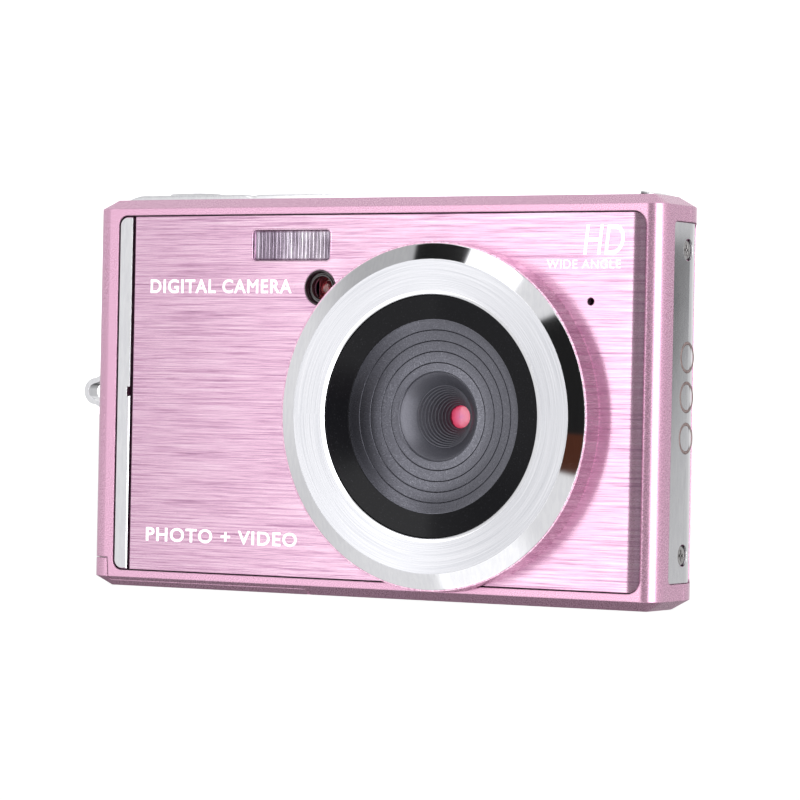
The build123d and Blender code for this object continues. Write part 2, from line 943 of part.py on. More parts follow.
terrace_radii = [share * border_bore_radius for share in terrace_shares]
mouth_radius = terrace_radii[-1]


def dish_height(radius):
    """The height of the dished baffle at a radius."""
    share = (radius - mouth_radius) / (border_bore_radius - mouth_radius)
    return terrace_end_height + (terrace_top_height - terrace_end_height) * share ** 2


def terrace_points():
    """The stepped face of the light baffle, from its rim to the funnel's mouth."""
    points = []
    for outer, inner in zip(terrace_radii, terrace_radii[1:]):
        points.append((outer, dish_height(outer)))
        points.append((inner, dish_height(inner) + terrace_step))
    return points


def funnel_points():
    """The ringed funnel, from its mouth down to the lens."""
    fall = (terrace_end_height + funnel_end_depth) / funnel_rings
    narrow = (mouth_radius - funnel_end_radius) / funnel_rings
    points = []
    for step in range(funnel_rings):
        top = terrace_end_height - step * fall
        radius = mouth_radius - step * narrow
        points.append((radius, top))
        points.append((radius - narrow + funnel_ledge, top - fall))
    points.append((funnel_end_radius, -funnel_end_depth))
    return points


funnel_outer_radius = mouth_radius + funnel_wall

with BuildPart() as light_baffle:
    rim_points = [(baffle_radius, window_seat), (border_bore_radius, window_seat)]
    back_points = [
        (barrel_radius, -funnel_end_depth),
        (barrel_radius, -front_inner),
        (funnel_outer_radius, terrace_end_height - baffle_floor),
        (baffle_radius - baffle_wall, window_seat - 2 * border_thickness),
        (baffle_radius - baffle_wall, -pocket_depth),
        (baffle_radius, -pocket_depth),
    ]
    add(turned(rim_points + terrace_points() + funnel_points() + back_points))
save(light_baffle, "light_baffle")

barrel_front = funnel_end_depth
element_front = barrel_front + element_inset
second_element_front = element_front + element_spacing

with BuildPart() as lens_barrel:
    add(lens_bore(barrel_radius, barrel_front, barrel_front + barrel_depth))
    add(lens_bore(element_radius, 0, body_depth), mode=Mode.SUBTRACT)
    filter_place = facing(barrel_front + barrel_depth)
    with BuildSketch(filter_place):
        with Locations((lens_x, lens_z)):
            Rectangle(filter_size, filter_size)
    extrude(amount=filter_thickness, mode=Mode.SUBTRACT)
save(lens_barrel, "lens_barrel")


def element(front_depth, crown):
    """A lens element with a crowned front."""
    with BuildPart() as glass:
        with BuildSketch(lens_section):
            with BuildLine():
                rim = (element_radius, -front_depth)
                top = (0, crown - front_depth)
                rear = -front_depth - element_thickness
                ThreePointArc(top, (element_radius * 0.5, crown * 0.75 - front_depth), rim)
                Polyline(rim, (element_radius, rear), (0, rear), top)
            make_face()
        revolve(axis=lens_axis)
    return glass.part


with BuildPart() as lens_glass:
    add(element(element_front + element_crown, element_crown))
save(lens_glass, "lens_glass")

with BuildPart() as rear_lens_glass:
    add(element(second_element_front + element_crown, element_crown / 2))
save(rear_lens_glass, "rear_lens_glass")

with BuildPart() as infrared_filter:
    with BuildSketch(filter_place):
        with Locations((lens_x, lens_z)):
            Rectangle(filter_size, filter_size)
    extrude(amount=filter_thickness)
save(infrared_filter, "infrared_filter")

with BuildPart() as image_sensor:
    with BuildSketch(facing(sensor_front)):
        with Locations((lens_x, lens_z)):
            Rectangle(sensor_width, sensor_height)
    extrude(amount=-sensor_thickness)
save(image_sensor, "image_sensor")

with BuildPart() as sensor_board:
    with BuildSketch(facing(sensor_front + sensor_thickness)):
        with Locations((lens_x, lens_z)):
            Rectangle(sensor_board_size, sensor_board_size)
    extrude(amount=-sensor_board_thickness)
save(sensor_board, "sensor_board")

# ---------------------------------------------------------------- flash
rib_count = int((flash_width - 2 * flash_rib_margin) / flash_rib_pitch)
with BuildPart() as flash_window:
    with BuildSketch(facing(flash_window_recess + flash_rib_height)):
        with Locations((flash_x, flash_z)):
            RectangleRounded(flash_width, flash_height, flash_corner - flash_gap)
    extrude(amount=-flash_window_thickness)
    with BuildSketch(facing(flash_window_recess)):
        with Locations((flash_x, flash_z)):
            with GridLocations(flash_rib_pitch, 0, rib_count, 1):
                Rectangle(flash_rib_width, flash_height - 2 * flash_rib_margin)
    extrude(amount=-flash_rib_height)
save(flash_window, "flash_window")

reflector_front = flash_window_recess + flash_rib_height + flash_window_thickness
reflector_rear = reflector_front + reflector_depth
tube_depth = reflector_rear - 2 * tube_radius
with BuildPart() as flash_reflector:
    with BuildSketch(facing(reflector_front)):
        with Locations((flash_x, flash_z)):
            Rectangle(flash_width, flash_height)
    with BuildSketch(facing(reflector_rear)):
        with Locations((flash_x, flash_z)):
            Rectangle(flash_width, flash_height * reflector_taper)
    loft()
    with BuildSketch(facing(reflector_front)):
        with Locations((flash_x, flash_z)):
            Rectangle(flash_width - 2 * reflector_wall, flash_height - 2 * reflector_wall)
    with BuildSketch(facing(reflector_rear - reflector_wall)):
        with Locations((flash_x, flash_z)):
            Rectangle(flash_width - 2 * reflector_wall,
                      flash_height * reflector_taper - 2 * reflector_wall)
    loft(mode=Mode.SUBTRACT)
    tube_hole = Plane(origin=(flash_x - flash_width, front_y + tube_depth, flash_z),
                      x_dir=(0, 1, 0), z_dir=(1, 0, 0))
    add(peg(tube_hole, [(0, 0)], tube_radius, 2 * flash_width), mode=Mode.SUBTRACT)
save(flash_reflector, "flash_reflector")

with BuildPart() as flash_tube:
    tube_end = Plane(origin=(flash_x - flash_width / 2 - tube_overhang, front_y + tube_depth, flash_z),
                     x_dir=(0, 1, 0), z_dir=(1, 0, 0))
    add(peg(tube_end, [(0, 0)], tube_radius, flash_width + 2 * tube_overhang))
save(flash_tube, "flash_tube")

capacitor_left = inner_left + capacitor_left_gap
capacitor_depth = front_inner + stack_gap + capacitor_radius
with BuildPart() as flash_capacitor:
    capacitor_end = Plane(origin=(capacitor_left, front_y + capacitor_depth, capacitor_z),
                          x_dir=(0, 1, 0), z_dir=(1, 0, 0))
    add(peg(capacitor_end, [(0, 0)], capacitor_radius, capacitor_length))
    rim = flash_capacitor.edges().filter_by(GeomType.CIRCLE)
    fillet(rim, capacitor_edge)
save(flash_capacitor, "flash_capacitor")

# ---------------------------------------------------------------- lamp, microphone
with BuildPart() as lamp_window:
    with BuildSketch(facing(pocket_depth - lamp_window_thickness)):
        with Locations((lamp_x, lamp_z)):
            Circle(lamp_radius - seam / 4)
    extrude(amount=-lamp_window_thickness)
save(lamp_window, "lamp_window")

with BuildPart() as lamp_led:
    with BuildSketch(facing(pocket_depth + lamp_led_front)):
        with Locations((lamp_x, lamp_z)):
            Circle(lamp_led_radius)
    extrude(amount=-lamp_led_length)
    fillet(lamp_led.faces().sort_by(Axis.Y)[0].edges(), 2 * lamp_led_radius / 3)
    with BuildSketch(facing(front_inner + stack_gap)):
        with Locations((lamp_x, lamp_z)):
            Rectangle(lamp_led_base, lamp_led_base)
    extrude(amount=-lamp_led_base_thickness)
save(lamp_led, "lamp_led")

with BuildPart() as microphone:
    add(peg(facing(front_inner), [(microphone_x, microphone_z)], microphone_radius, -microphone_length))
save(microphone, "microphone")

# ---------------------------------------------------------------- battery and card
battery_left = inner_left + battery_left_gap
battery_right = battery_left + battery_width
battery_top = battery_base + battery_height
battery_depths = (front_inner + stack_gap, battery_rear)

with BuildPart() as battery:
    add(block((battery_left, battery_right), battery_depths, (battery_base, battery_top)))
    fillet(battery.edges().filter_by(Axis.Z), battery_corner)
save(battery, "battery")

contact_left = battery_left + contact_block_offset
contact_base = battery_top + contact_spring_length
with BuildPart() as battery_contacts:
    add(block((contact_left, contact_left + contact_block_width),
              (battery_depths[0] + contact_front_gap, battery_depths[1] - contact_rear_gap),
              (contact_base, contact_base + contact_block_height)))
    with BuildSketch(level(contact_base)):
        with Locations((contact_left + contact_block_width / 2, front_y + sum(battery_depths) / 2)):
            with GridLocations(contact_pitch, 0, 3, 1):
                Rectangle(*contact_pad)
    extrude(amount=-contact_spring_length)
save(battery_contacts, "battery_contacts")

card_x = battery_left + card_left_gap + card_width / 2
card_front = chassis_rear + travel_gap + card_slot_wall + card_space
card_base = battery_base - card_drop
card_sides = (card_x - card_width / 2, card_x + card_width / 2)

with BuildPart() as memory_card:
    with BuildSketch(facing(card_front)):
        with BuildLine():
            Polyline(
                (card_sides[0], card_base),
                (card_sides[1], card_base),
                (card_sides[1], card_base + card_length),
                (card_sides[0] + card_corner_cut, card_base + card_length),
                (card_sides[0], card_base + card_length - card_corner_cut),
                close=True,
            )
        make_face()
    extrude(amount=-card_thickness)
save(memory_card, "memory_card")

slot_top = card_base + card_length + card_space
with BuildPart() as card_slot:
    add(block(
        (card_sides[0] - card_space - card_slot_wall, card_sides[1] + card_space + card_slot_wall),
        (card_front - card_space - card_slot_wall, card_front + card_thickness + card_space + card_slot_wall),
        (card_base + card_exposed, slot_top + card_slot_wall),
    ))
    add(block(
        (card_sides[0] - card_space, card_sides[1] + card_space),
        (card_front - card_space, card_front + card_thickness + card_space),
        (card_base, slot_top),
    ), mode=Mode.SUBTRACT)
save(card_slot, "card_slot")

# ---------------------------------------------------------------- door
with BuildPart() as battery_door:
    add(outer_form)
    add(door_space(0), mode=Mode.INTERSECT)
    add(hollow, mode=Mode.SUBTRACT)
    for lug_front in hinge_lug_fronts:
        add(block(
            (door_pivot_x - door_nose_radius - running_gap, door_right + cutter),
            (lug_front - running_gap, lug_front + door_lug_length + running_gap),
            (-cutter, wall + cutter),
        ), mode=Mode.SUBTRACT)
    add(peg(facing(hinge_front - door_pin_overhang - travel_gap), [pivot_plane_place],
            door_pin_radius + pin_clearance,
            hinge_front - hinge_rear - 2 * door_pin_overhang - 2 * travel_gap), mode=Mode.SUBTRACT)
    door_hook_top = door_side_height + door_hook_height
    with BuildSketch(facing(battery_depths[1] - door_hook_setback)):
        with BuildLine():
            Polyline(
                (inner_left - door_hook_root, wall - door_hook_root),
                (inner_left - door_hook_root, door_side_height - door_hook_root),
                (inner_left + door_hook_gap, door_side_height - door_hook_root),
                (inner_left + door_hook_gap, door_hook_top),
                (inner_left + door_hook_reach, door_hook_top),
                (inner_left + door_hook_reach, wall - door_hook_root),
                close=True,
            )
        make_face()
    extrude(amount=door_hook_width)
save(battery_door, "battery_door")

with BuildPart() as door_pin:
    add(peg(facing(hinge_front - door_pin_overhang), [pivot_plane_place], door_pin_radius,
            hinge_front - hinge_rear - 2 * door_pin_overhang))
save(door_pin, "door_pin")

# ---------------------------------------------------------------- top deck
with BuildPart() as top_trim:
    with BuildSketch(level(deck_trim_base)):
        add(deck_outline(0))
    extrude(amount=deck_trim_rise + deck_trim_inset)
    with BuildSketch(facing(deck_trim_front_depth - cutter)):
        with BuildLine():
            Polyline(
                (deck_trim_left, deck_trim_base),
                (deck_trim_right, deck_trim_base),
                (deck_trim_right, body_height),
                (deck_trim_right - deck_trim_taper, deck_trim_top),
                (deck_groove_x + deck_groove_width / 2, deck_trim_top),
                (deck_groove_x, deck_trim_top - deck_groove_depth),
                (deck_groove_x - deck_groove_width / 2, deck_trim_top),
                (deck_trim_left + deck_trim_taper, deck_trim_top),
                (deck_trim_left, body_height),
                close=True,
            )
        make_face()
    extrude(amount=-deck_trim_breadth - 2 * cutter, mode=Mode.INTERSECT)
    with BuildSketch(level(deck_trim_base)):
        add(shutter_outline(running_gap))
        add(power_outline(running_gap))
        with Locations(*deck_slots):
            SlotOverall(speaker_slot_length, speaker_slot_width, rotation=90)
    extrude(amount=cutter, mode=Mode.SUBTRACT)
save(top_trim, "top_trim")

flange_top = inner_top - travel_gap
flange_base = flange_top - button_flange_thickness
top_board_top = flange_base - button_stem_length - shutter_travel - switch_height - travel_gap


def top_button(outline, crown_height, chamfer_size, stem_x):
    """A cap through the deck, a flange under it and a stem over its switch."""
    with BuildPart() as button:
        with BuildSketch(level(flange_top)):
            add(outline(0))
        extrude(amount=crown_height - flange_top)
        chamfer(button.faces().sort_by(Axis.Z)[-1].edges(), chamfer_size)
        with BuildSketch(level(flange_base)):
            add(outline(button_flange))
        extrude(amount=button_flange_thickness)
        with BuildSketch(level(flange_base)):
            with Locations((stem_x, deck_middle_y)):
                Circle(button_stem_radius)
        extrude(amount=-button_stem_length)
    return button.part


with BuildPart() as shutter_button:
    add(top_button(shutter_outline, deck_trim_top + shutter_proud, shutter_chamfer, shutter_x))
save(shutter_button, "shutter_button")

with BuildPart() as power_button:
    add(top_button(power_outline, deck_trim_top + power_proud, power_chamfer, power_x))
save(power_button, "power_button")

spring_length = flange_base - top_board_top - 2 * spring_wire_radius
with BuildPart() as shutter_spring:
    spring_plane = Plane(origin=(shutter_x, deck_middle_y, top_board_top + spring_wire_radius))
    with BuildLine() as coil:
        Helix(spring_length / spring_turns, spring_length, spring_radius,
              center=spring_plane.origin)
    with BuildSketch(Plane(origin=coil.line @ 0, z_dir=coil.line % 0)):
        Circle(spring_wire_radius)
    sweep(path=coil.line, is_frenet=True)
save(shutter_spring, "shutter_spring")

with BuildPart() as top_board:
    top_board_left = shutter_x - shutter_width / 2
    top_board_width = power_x + power_radius + top_board_margin - top_board_left
    board_x = top_board_left + top_board_width / 2
    add(tile(level(top_board_top - top_board_thickness), (board_x, deck_middle_y),
             (top_board_width, top_board_breadth), top_board_corner, top_board_thickness))
save(top_board, "top_board")

with BuildPart() as top_switches:
    add(peg(level(top_board_top), [(shutter_x, deck_middle_y), (power_x, deck_middle_y)],
            button_stem_radius + switch_rim, switch_height))
save(top_switches, "top_switches")

speaker_top = inner_top - travel_gap
with BuildPart() as speaker:
    add(tile(level(speaker_top - speaker_thickness), (speaker_slot_x, deck_middle_y + speaker_offset),
             speaker_size, speaker_corner, speaker_thickness))
save(speaker, "speaker")

# ---------------------------------------------------------------- rear keys
key_flange_rear = inner_rear - travel_gap
key_flange_front = key_flange_rear - key_flange_thickness
key_face_depth = body_depth + key_proud


def rear_key(outline, flange_outline, stem_place):
    """A cap through the rear wall, a flange inside it and a stem over its switch."""
    with BuildPart() as key:
        with BuildSketch(facing(key_flange_rear)):
            add(outline)
        extrude(amount=key_flange_rear - key_face_depth)
        chamfer(key.faces().sort_by(Axis.Y)[-1].edges(), key_chamfer)
        with BuildSketch(facing(key_flange_front)):
            add(flange_outline)
        extrude(amount=-key_flange_thickness)
        with BuildSketch(facing(key_flange_front)):
            with Locations(stem_place):
                Circle(key_stem_radius)
        extrude(amount=key_stem_length)
    return key.part


def pad_flange(angle):
    """An arc outside one quarter of the pad, which holds its key behind the wall."""
    with BuildSketch() as arc:
        with Locations((keys_x, pad_z)):
            Circle(pad_outer_radius + key_flange)
            Circle(pad_outer_radius - key_flange, mode=Mode.SUBTRACT)
        middle_x = keys_x + pad_outer_radius * cos(radians(angle))
        middle_z = pad_z + pad_outer_radius * sin(radians(angle))
        with Locations((middle_x, middle_z)):
            Rectangle(pad_outer_radius, pad_outer_radius, mode=Mode.INTERSECT)
    return arc.sketch


pad_stem_radius = (pad_inner_radius + pad_outer_radius) / 2
key_places = {"ok_button": (keys_x, pad_z)}
for name, angle in pad_directions.items():
    key_places[name] = (keys_x + pad_stem_radius * cos(radians(angle)),
                        pad_z + pad_stem_radius * sin(radians(angle)))
    with BuildPart() as pad_key:
        add(rear_key(pad_outline(angle, 0), pad_outline(angle, -pad_flange_shrink), key_places[name]))
        with BuildSketch(facing(key_flange_front)):
            add(pad_flange(angle))
        extrude(amount=-key_flange_thickness)
    save(pad_key, name)

with BuildPart() as ok_button:
    add(rear_key(round_outline((keys_x, pad_z), ok_radius),
                 round_outline((keys_x, pad_z), ok_radius + ok_flange), (keys_x, pad_z)))
save(ok_button, "ok_button")

for name, place in small_keys.items():
    key_places[name] = place
    with BuildPart() as small_key:
        add(rear_key(small_key_outline(place, 0), small_key_outline(place, key_flange), place))
    save(small_key, name)

rocker_face_depth = body_depth + rocker_proud
rocker_feet = [(keys_x - rocker_foot_offset, rocker_z), (keys_x + rocker_foot_offset, rocker_z)]
with BuildPart() as zoom_rocker:
    with BuildSketch(facing(key_flange_rear)):
        add(rocker_outline(0))
    extrude(amount=key_flange_rear - rocker_face_depth)
    chamfer(zoom_rocker.faces().sort_by(Axis.Y)[-1].edges(), rocker_chamfer)
    with BuildSketch(facing(key_flange_rear)):
        with Locations(*rocker_feet):
            Circle(rocker_foot_radius)
    extrude(amount=key_flange_rear - key_flange_front + rocker_foot_reach)
    boss_length = rocker_height - 2 * rocker_boss_gap
    add(peg(level(rocker_z - boss_length / 2), [(keys_x, rocker_pin_y)], rocker_boss_radius, boss_length))
    add(peg(level(rocker_z - rocker_height), [(keys_x, rocker_pin_y)],
            rocker_pin_radius + pin_clearance, 2 * rocker_height), mode=Mode.SUBTRACT)
save(zoom_rocker, "zoom_rocker")

with BuildPart() as rocker_pin:
    pin_half = rocker_height / 2 + key_gap + rocker_lug_length
    add(peg(level(rocker_z - pin_half), [(keys_x, rocker_pin_y)], rocker_pin_radius, 2 * pin_half))
save(rocker_pin, "rocker_pin")

key_board_rear_depth = key_flange_front - key_stem_length - key_travel - switch_height - running_gap
key_board_front = key_board_rear_depth - key_board_thickness
key_board_left = keys_x - key_board_width / 2 - key_board_shift
with BuildPart() as key_board:
    add(block((key_board_left, key_board_left + key_board_width), (key_board_front, key_board_rear_depth),
              (chassis_base + key_board_rise, chassis_top)))
save(key_board, "key_board")

with BuildPart() as key_switches:
    add(peg(facing(key_board_rear_depth), list(key_places.values()) + rocker_feet,
            key_stem_radius + key_switch_rim, -switch_height))
save(key_switches, "key_switches")

with BuildPart() as status_light:
    add(peg(facing(key_board_rear_depth), [(keys_x, indicator_z)], indicator_radius - pin_clearance,
            key_board_rear_depth - body_depth))
save(status_light, "status_light")

# ---------------------------------------------------------------- display
with BuildPart() as display_module:
    add(block((display_x - display_width / 2, display_x + display_width / 2),
              (display_rear_depth - display_thickness, display_rear_depth),
              (middle_height - display_height / 2, middle_height + display_height / 2)))
save(display_module, "display_module")

with BuildPart() as display_window:
    add(tile(facing(body_depth - seam / 4), window_place, (window_width, window_height),
             window_corner, window_thickness))
save(display_window, "display_window")

# ---------------------------------------------------------------- structure
chassis_left = inner_left + chassis_left_gap
chassis_right = inner_right - chassis_right_gap
block_depths = (parting_depth - screw_block_depth / 2, parting_depth + screw_block_depth / 2)

socket_notch_place = (lens_x, (wall + socket_height + socket_clearance) / 2)
socket_notch_size = (2 * socket_outer_radius + socket_clearance, socket_height + socket_clearance)

with BuildPart() as chassis:
    add(block((chassis_left, chassis_right), (chassis_front_depth, chassis_rear),
              (chassis_base, chassis_top)))
    for z in side_screw_heights:
        add(block((inner_right - running_gap - screw_block_length, inner_right - running_gap), block_depths,
                  (z - screw_block / 2, z + screw_block / 2)))
    for x in bottom_screw_places:
        block_sides = (x - screw_block / 2, x + screw_block / 2)
        add(block(block_sides, block_depths, (wall, wall + screw_block_length)))
        add(block(block_sides, (chassis_front_depth, chassis_rear), (wall, chassis_base + chassis_thickness)))
    with BuildSketch(facing(chassis_front_depth)):
        with Locations(socket_notch_place):
            Rectangle(*socket_notch_size)
    extrude(amount=-chassis_thickness, mode=Mode.SUBTRACT)
    for plane in screw_planes:
        add(peg(plane.offset(-wall), [(0, 0)], screw_shank_radius, -screw_length), mode=Mode.SUBTRACT)
save(chassis, "chassis")

with BuildPart() as side_screws:
    for plane in side_screw_planes:
        add(screw(plane))
save(side_screws, "side_screws")

with BuildPart() as bottom_screws:
    for plane in bottom_screw_planes:
        add(screw(plane))
save(bottom_screws, "bottom_screws")

board_left = battery_right + main_board_left_gap
board_places = [
    (board_left + board_screw_inset, chassis_top - board_screw_height),
    (main_board_right - board_screw_inset, chassis_top - board_screw_height),
    (main_board_right - board_screw_inset, chassis_base + board_screw_height),
]
with BuildPart() as main_board:
    with BuildSketch(facing(main_board_front_depth)):
        with Locations(((board_left + main_board_right) / 2, (chassis_base + chassis_top) / 2)):
            Rectangle(main_board_right - board_left, chassis_top - chassis_base)
        with Locations(socket_notch_place):
            Rectangle(*socket_notch_size, mode=Mode.SUBTRACT)
        with Locations(*board_places):
            Circle(screw_shank_radius, mode=Mode.SUBTRACT)
    extrude(amount=-main_board_thickness)
save(main_board, "main_board")

with BuildPart() as processor:
    processor_front = main_board_front_depth - processor_thickness
    add(block((lens_x - processor_size / 2, lens_x + processor_size / 2),
              (processor_front, main_board_front_depth),
              (lens_z - processor_size / 2, lens_z + processor_size / 2)))
save(processor, "processor")

with BuildPart() as board_screws:
    add(peg(facing(board_rear), board_places, screw_shank_radius, board_rear - chassis_rear))
    add(peg(facing(board_rear), board_places, screw_head_radius, -board_screw_head))
save(board_screws, "board_screws")

with BuildPart() as tripod_socket:
    add(peg(level(0), [(lens_x, 0)], socket_outer_radius, socket_height))
    add(peg(level(0), [(lens_x, 0)], socket_thread_radius, socket_thread_length), mode=Mode.SUBTRACT)
    with BuildSketch(level(wall + travel_gap)):
        with Locations((lens_x, 0)):
            Circle(socket_outer_radius + cutter)
            Circle(socket_outer_radius - socket_groove, mode=Mode.SUBTRACT)
    extrude(amount=socket_groove_height, mode=Mode.SUBTRACT)
save(tripod_socket, "tripod_socket")

with BuildPart() as side_trim:
    add(side_band(side_trim_recess, side_trim_recess + side_trim_thickness, 0))
    for plane in side_screw_planes:
        add(peg(plane.offset(cutter), [(0, 0)], screw_head_radius + running_gap, -2 * cutter),
            mode=Mode.SUBTRACT)
save(side_trim, "side_trim")

with BuildPart() as strap_lug:
    with BuildSketch(facing(lug_depth - lug_thickness / 2)):
        add(lug_outline(0))
        add(lug_outline(lug_bar), mode=Mode.SUBTRACT)
    extrude(amount=-lug_thickness)
    flange_half = lug_base_half_height + lug_flange_overlap
    add(block((inner_left, lug_inner_x),
              (lug_depth - lug_thickness, lug_depth + lug_thickness - lug_flange_rear),
              (lug_z - flange_half, lug_z + flange_half)))
save(strap_lug, "strap_lug")

with BuildPart() as usb_connector:
    add(block((usb_left, usb_left + usb_length), usb_depths, usb_heights))
    add(block(
        (usb_left - cutter, usb_left + usb_length - usb_back),
        (usb_depths[0] + usb_shell, usb_depths[1] - usb_shell),
        (usb_heights[0] + usb_shell, usb_heights[1] - usb_shell),
    ), mode=Mode.SUBTRACT)
    add(block(
        (usb_left + usb_back, usb_left + usb_length),
        (usb_depths[0] + usb_tongue_gap, usb_depths[1] - usb_tongue_gap),
        (usb_heights[0] + usb_tongue_inset, usb_heights[1] - usb_tongue_inset),
    ))
save(usb_connector, "usb_connector")
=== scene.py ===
"""Compact digital camera: materials, fine detail, studio and camera.

Everything is in metres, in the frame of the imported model: the front faces -Y,
+X is to the right seen from the front, +Z is up, and the base is at z = 0.
"""
import math

import bpy
import bmesh
from mathutils import Matrix, Vector


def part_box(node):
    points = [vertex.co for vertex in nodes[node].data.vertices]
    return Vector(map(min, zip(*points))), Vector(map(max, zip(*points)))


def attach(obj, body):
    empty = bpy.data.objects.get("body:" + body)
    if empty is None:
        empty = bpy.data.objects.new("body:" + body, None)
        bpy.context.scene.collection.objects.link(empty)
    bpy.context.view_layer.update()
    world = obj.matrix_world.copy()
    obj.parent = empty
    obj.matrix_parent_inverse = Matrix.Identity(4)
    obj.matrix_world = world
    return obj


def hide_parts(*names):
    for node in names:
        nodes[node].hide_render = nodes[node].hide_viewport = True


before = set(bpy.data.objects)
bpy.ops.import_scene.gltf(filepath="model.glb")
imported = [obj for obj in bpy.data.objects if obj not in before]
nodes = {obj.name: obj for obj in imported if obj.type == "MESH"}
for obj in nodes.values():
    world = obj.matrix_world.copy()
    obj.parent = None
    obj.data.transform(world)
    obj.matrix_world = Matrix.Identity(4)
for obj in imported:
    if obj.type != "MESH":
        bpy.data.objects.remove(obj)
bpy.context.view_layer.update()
scene = bpy.context.scene
mm = 0.001

# ------------------------------------------------------------------ places
frame_low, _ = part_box("front_frame")
plate_low, plate_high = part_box("face_plate")
ring_low, ring_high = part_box("lens_ring")
collar_low, collar_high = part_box("lens_collar")
border_low, border_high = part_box("window_border")
baffle_low, baffle_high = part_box("light_baffle")
glass_low, glass_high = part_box("lens_glass")
lamp_low, lamp_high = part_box("lamp_window")
flash_low, flash_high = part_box("flash_window")
strip_low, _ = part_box("left_trim")
side_low, side_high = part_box("side_trim")

front_y = frame_low.y
lens_x = (ring_low.x + ring_high.x) / 2
lens_z = (ring_low.z + ring_high.z) / 2
collar_radius = (collar_high.x - collar_low.x) / 2
ring_bore = (border_high.x - border_low.x) / 2 + 0.08 * mm
plate_y = plate_low.y


# ------------------------------------------------------------------ node helpers
class Graph:
    """Short ways to add nodes to a tree."""

    def __init__(self, tree):
        self.tree = tree

    def node(self, kind, inputs=None, **settings):
        """Add a node; inputs maps a socket's name or number to a value or an output."""
        made = self.tree.nodes.new(kind)
        for key, value in settings.items():
            setattr(made, key, value)
        for key, value in (inputs or {}).items():
            if isinstance(value, bpy.types.NodeSocket):
                self.tree.links.new(value, made.inputs[key])
            else:
                made.inputs[key].default_value = value
        return made

    def place(self):
        """The point's place in the model, in metres."""
        return self.node("ShaderNodeTexCoord").outputs["Object"]

    def axes(self):
        """The place split into its X, Y and Z."""
        return self.node("ShaderNodeSeparateXYZ", {"Vector": self.place()}).outputs

    def from_lens_axis(self):
        """How far the place lies to the right of the lens axis and above it, and its Y."""
        place = self.axes()
        right = self.math("SUBTRACT", place["X"], lens_x)
        return right, self.math("SUBTRACT", place["Z"], lens_z), place["Y"]

    def length(self, right, up):
        """The length of the line that goes so far right and so far up."""
        squares = self.math("ADD", self.math("MULTIPLY", right, right), self.math("MULTIPLY", up, up))
        return self.math("SQRT", squares)

    def share_across(self, low, high):
        """Where the place lies from one X to another, as 0 to 1."""
        return self.math("DIVIDE", self.math("SUBTRACT", self.axes()["X"], low), high - low)

    def off_middle(self, axis, low, high):
        """How far the place lies along an axis from the middle of two points."""
        middle = (getattr(low, axis) + getattr(high, axis)) / 2
        return self.math("ABSOLUTE", self.math("SUBTRACT", self.axes()[axis.upper()], middle))

    def both(self, first, second):
        """1 where both values are 1."""
        return self.math("MULTIPLY", first, second)

    def stretched(self, scale, point=None):
        """The place scaled by one amount, or by an amount on each axis."""
        source = point or self.place()
        scale = scale if isinstance(scale, tuple) else (scale, scale, scale)
        return self.node("ShaderNodeMapping", {"Vector": source, "Scale": scale}).outputs["Vector"]

    def noise(self, scale, detail=3.0, roughness=0.5, point=None):
        """Noise whose grain is set by one scale, or by one on each axis, per metre."""
        made = self.node(
            "ShaderNodeTexNoise",
            {"Vector": self.stretched(scale, point), "Scale": 1.0,
             "Detail": detail, "Roughness": roughness},
        )
        return made.outputs["Fac"]

    def ramp(self, value, stops):
        """Colours by value; stops are (position, colour)."""
        made = self.node("ShaderNodeValToRGB", {"Fac": value})
        elements = made.color_ramp.elements
        while len(elements) < len(stops):
            elements.new(0.5)
        for element, (position, colour) in zip(elements, stops):
            element.position = position
            element.color = colour
        return made.outputs["Color"]

    def math(self, operation, *values):
        """A Math node."""
        made = self.node("ShaderNodeMath", operation=operation)
        for number, value in enumerate(values):
            if isinstance(value, bpy.types.NodeSocket):
                self.tree.links.new(value, made.inputs[number])
            else:
                made.inputs[number].default_value = value
        return made.outputs["Value"]

    def spread(self, value, low, high):
        """Map 0 to 1 onto low to high."""
        made = self.node("ShaderNodeMapRange", {"Value": value, "To Min": low, "To Max": high})
        return made.outputs["Result"]

    def mix(self, factor, first, second, blend="MIX"):
        """Mix two colours."""
        made = self.node("ShaderNodeMix", data_type="RGBA", blend_type=blend)
        for socket, value in ((0, factor), (6, first), (7, second)):
            if isinstance(value, bpy.types.NodeSocket):
                self.tree.links.new(value, made.inputs[socket])
            else:
                made.inputs[socket].default_value = value
        return made.outputs[2]


class Shader(Graph):
    """A Principled material."""

    def __init__(self, name, **sockets):
        self.material = bpy.data.materials.new(name)
        self.material.use_nodes = True
        super().__init__(self.material.node_tree)
        self.bsdf = self.tree.nodes["Principled BSDF"]
        for socket, value in sockets.items():
            self.set(socket.replace("_", " "), value)

    def set(self, socket, value):
        """Set a Principled socket, or link a node's output to it."""
        target = self.bsdf.inputs[socket]
        if isinstance(value, bpy.types.NodeSocket):
            self.tree.links.new(value, target)
        else:
            target.default_value = value

    def surface(self, height=None, strength=0.2, distance=0.0001, edge=0.0):
        """Relief, and softened sharp edges."""
        normal = None
        if edge:
            normal = self.node("ShaderNodeBevel", {"Radius": edge}, samples=4).outputs["Normal"]
        if height is not None:
            inputs = {"Height": height, "Strength": strength, "Distance": distance}
            if normal is not None:
                inputs["Normal"] = normal
            normal = self.node("ShaderNodeBump", inputs).outputs["Normal"]
        if normal is not None:
            self.set("Normal", normal)

    def brushed_along(self, axis):
        """Turn the anisotropy round an axis."""
        made = self.node("ShaderNodeTangent", direction_type="RADIAL", axis=axis)
        self.set("Tangent", made.outputs["Tangent"])


def grey(level, alpha=1.0):
    """A neutral colour."""
    return (level, level, level, alpha)


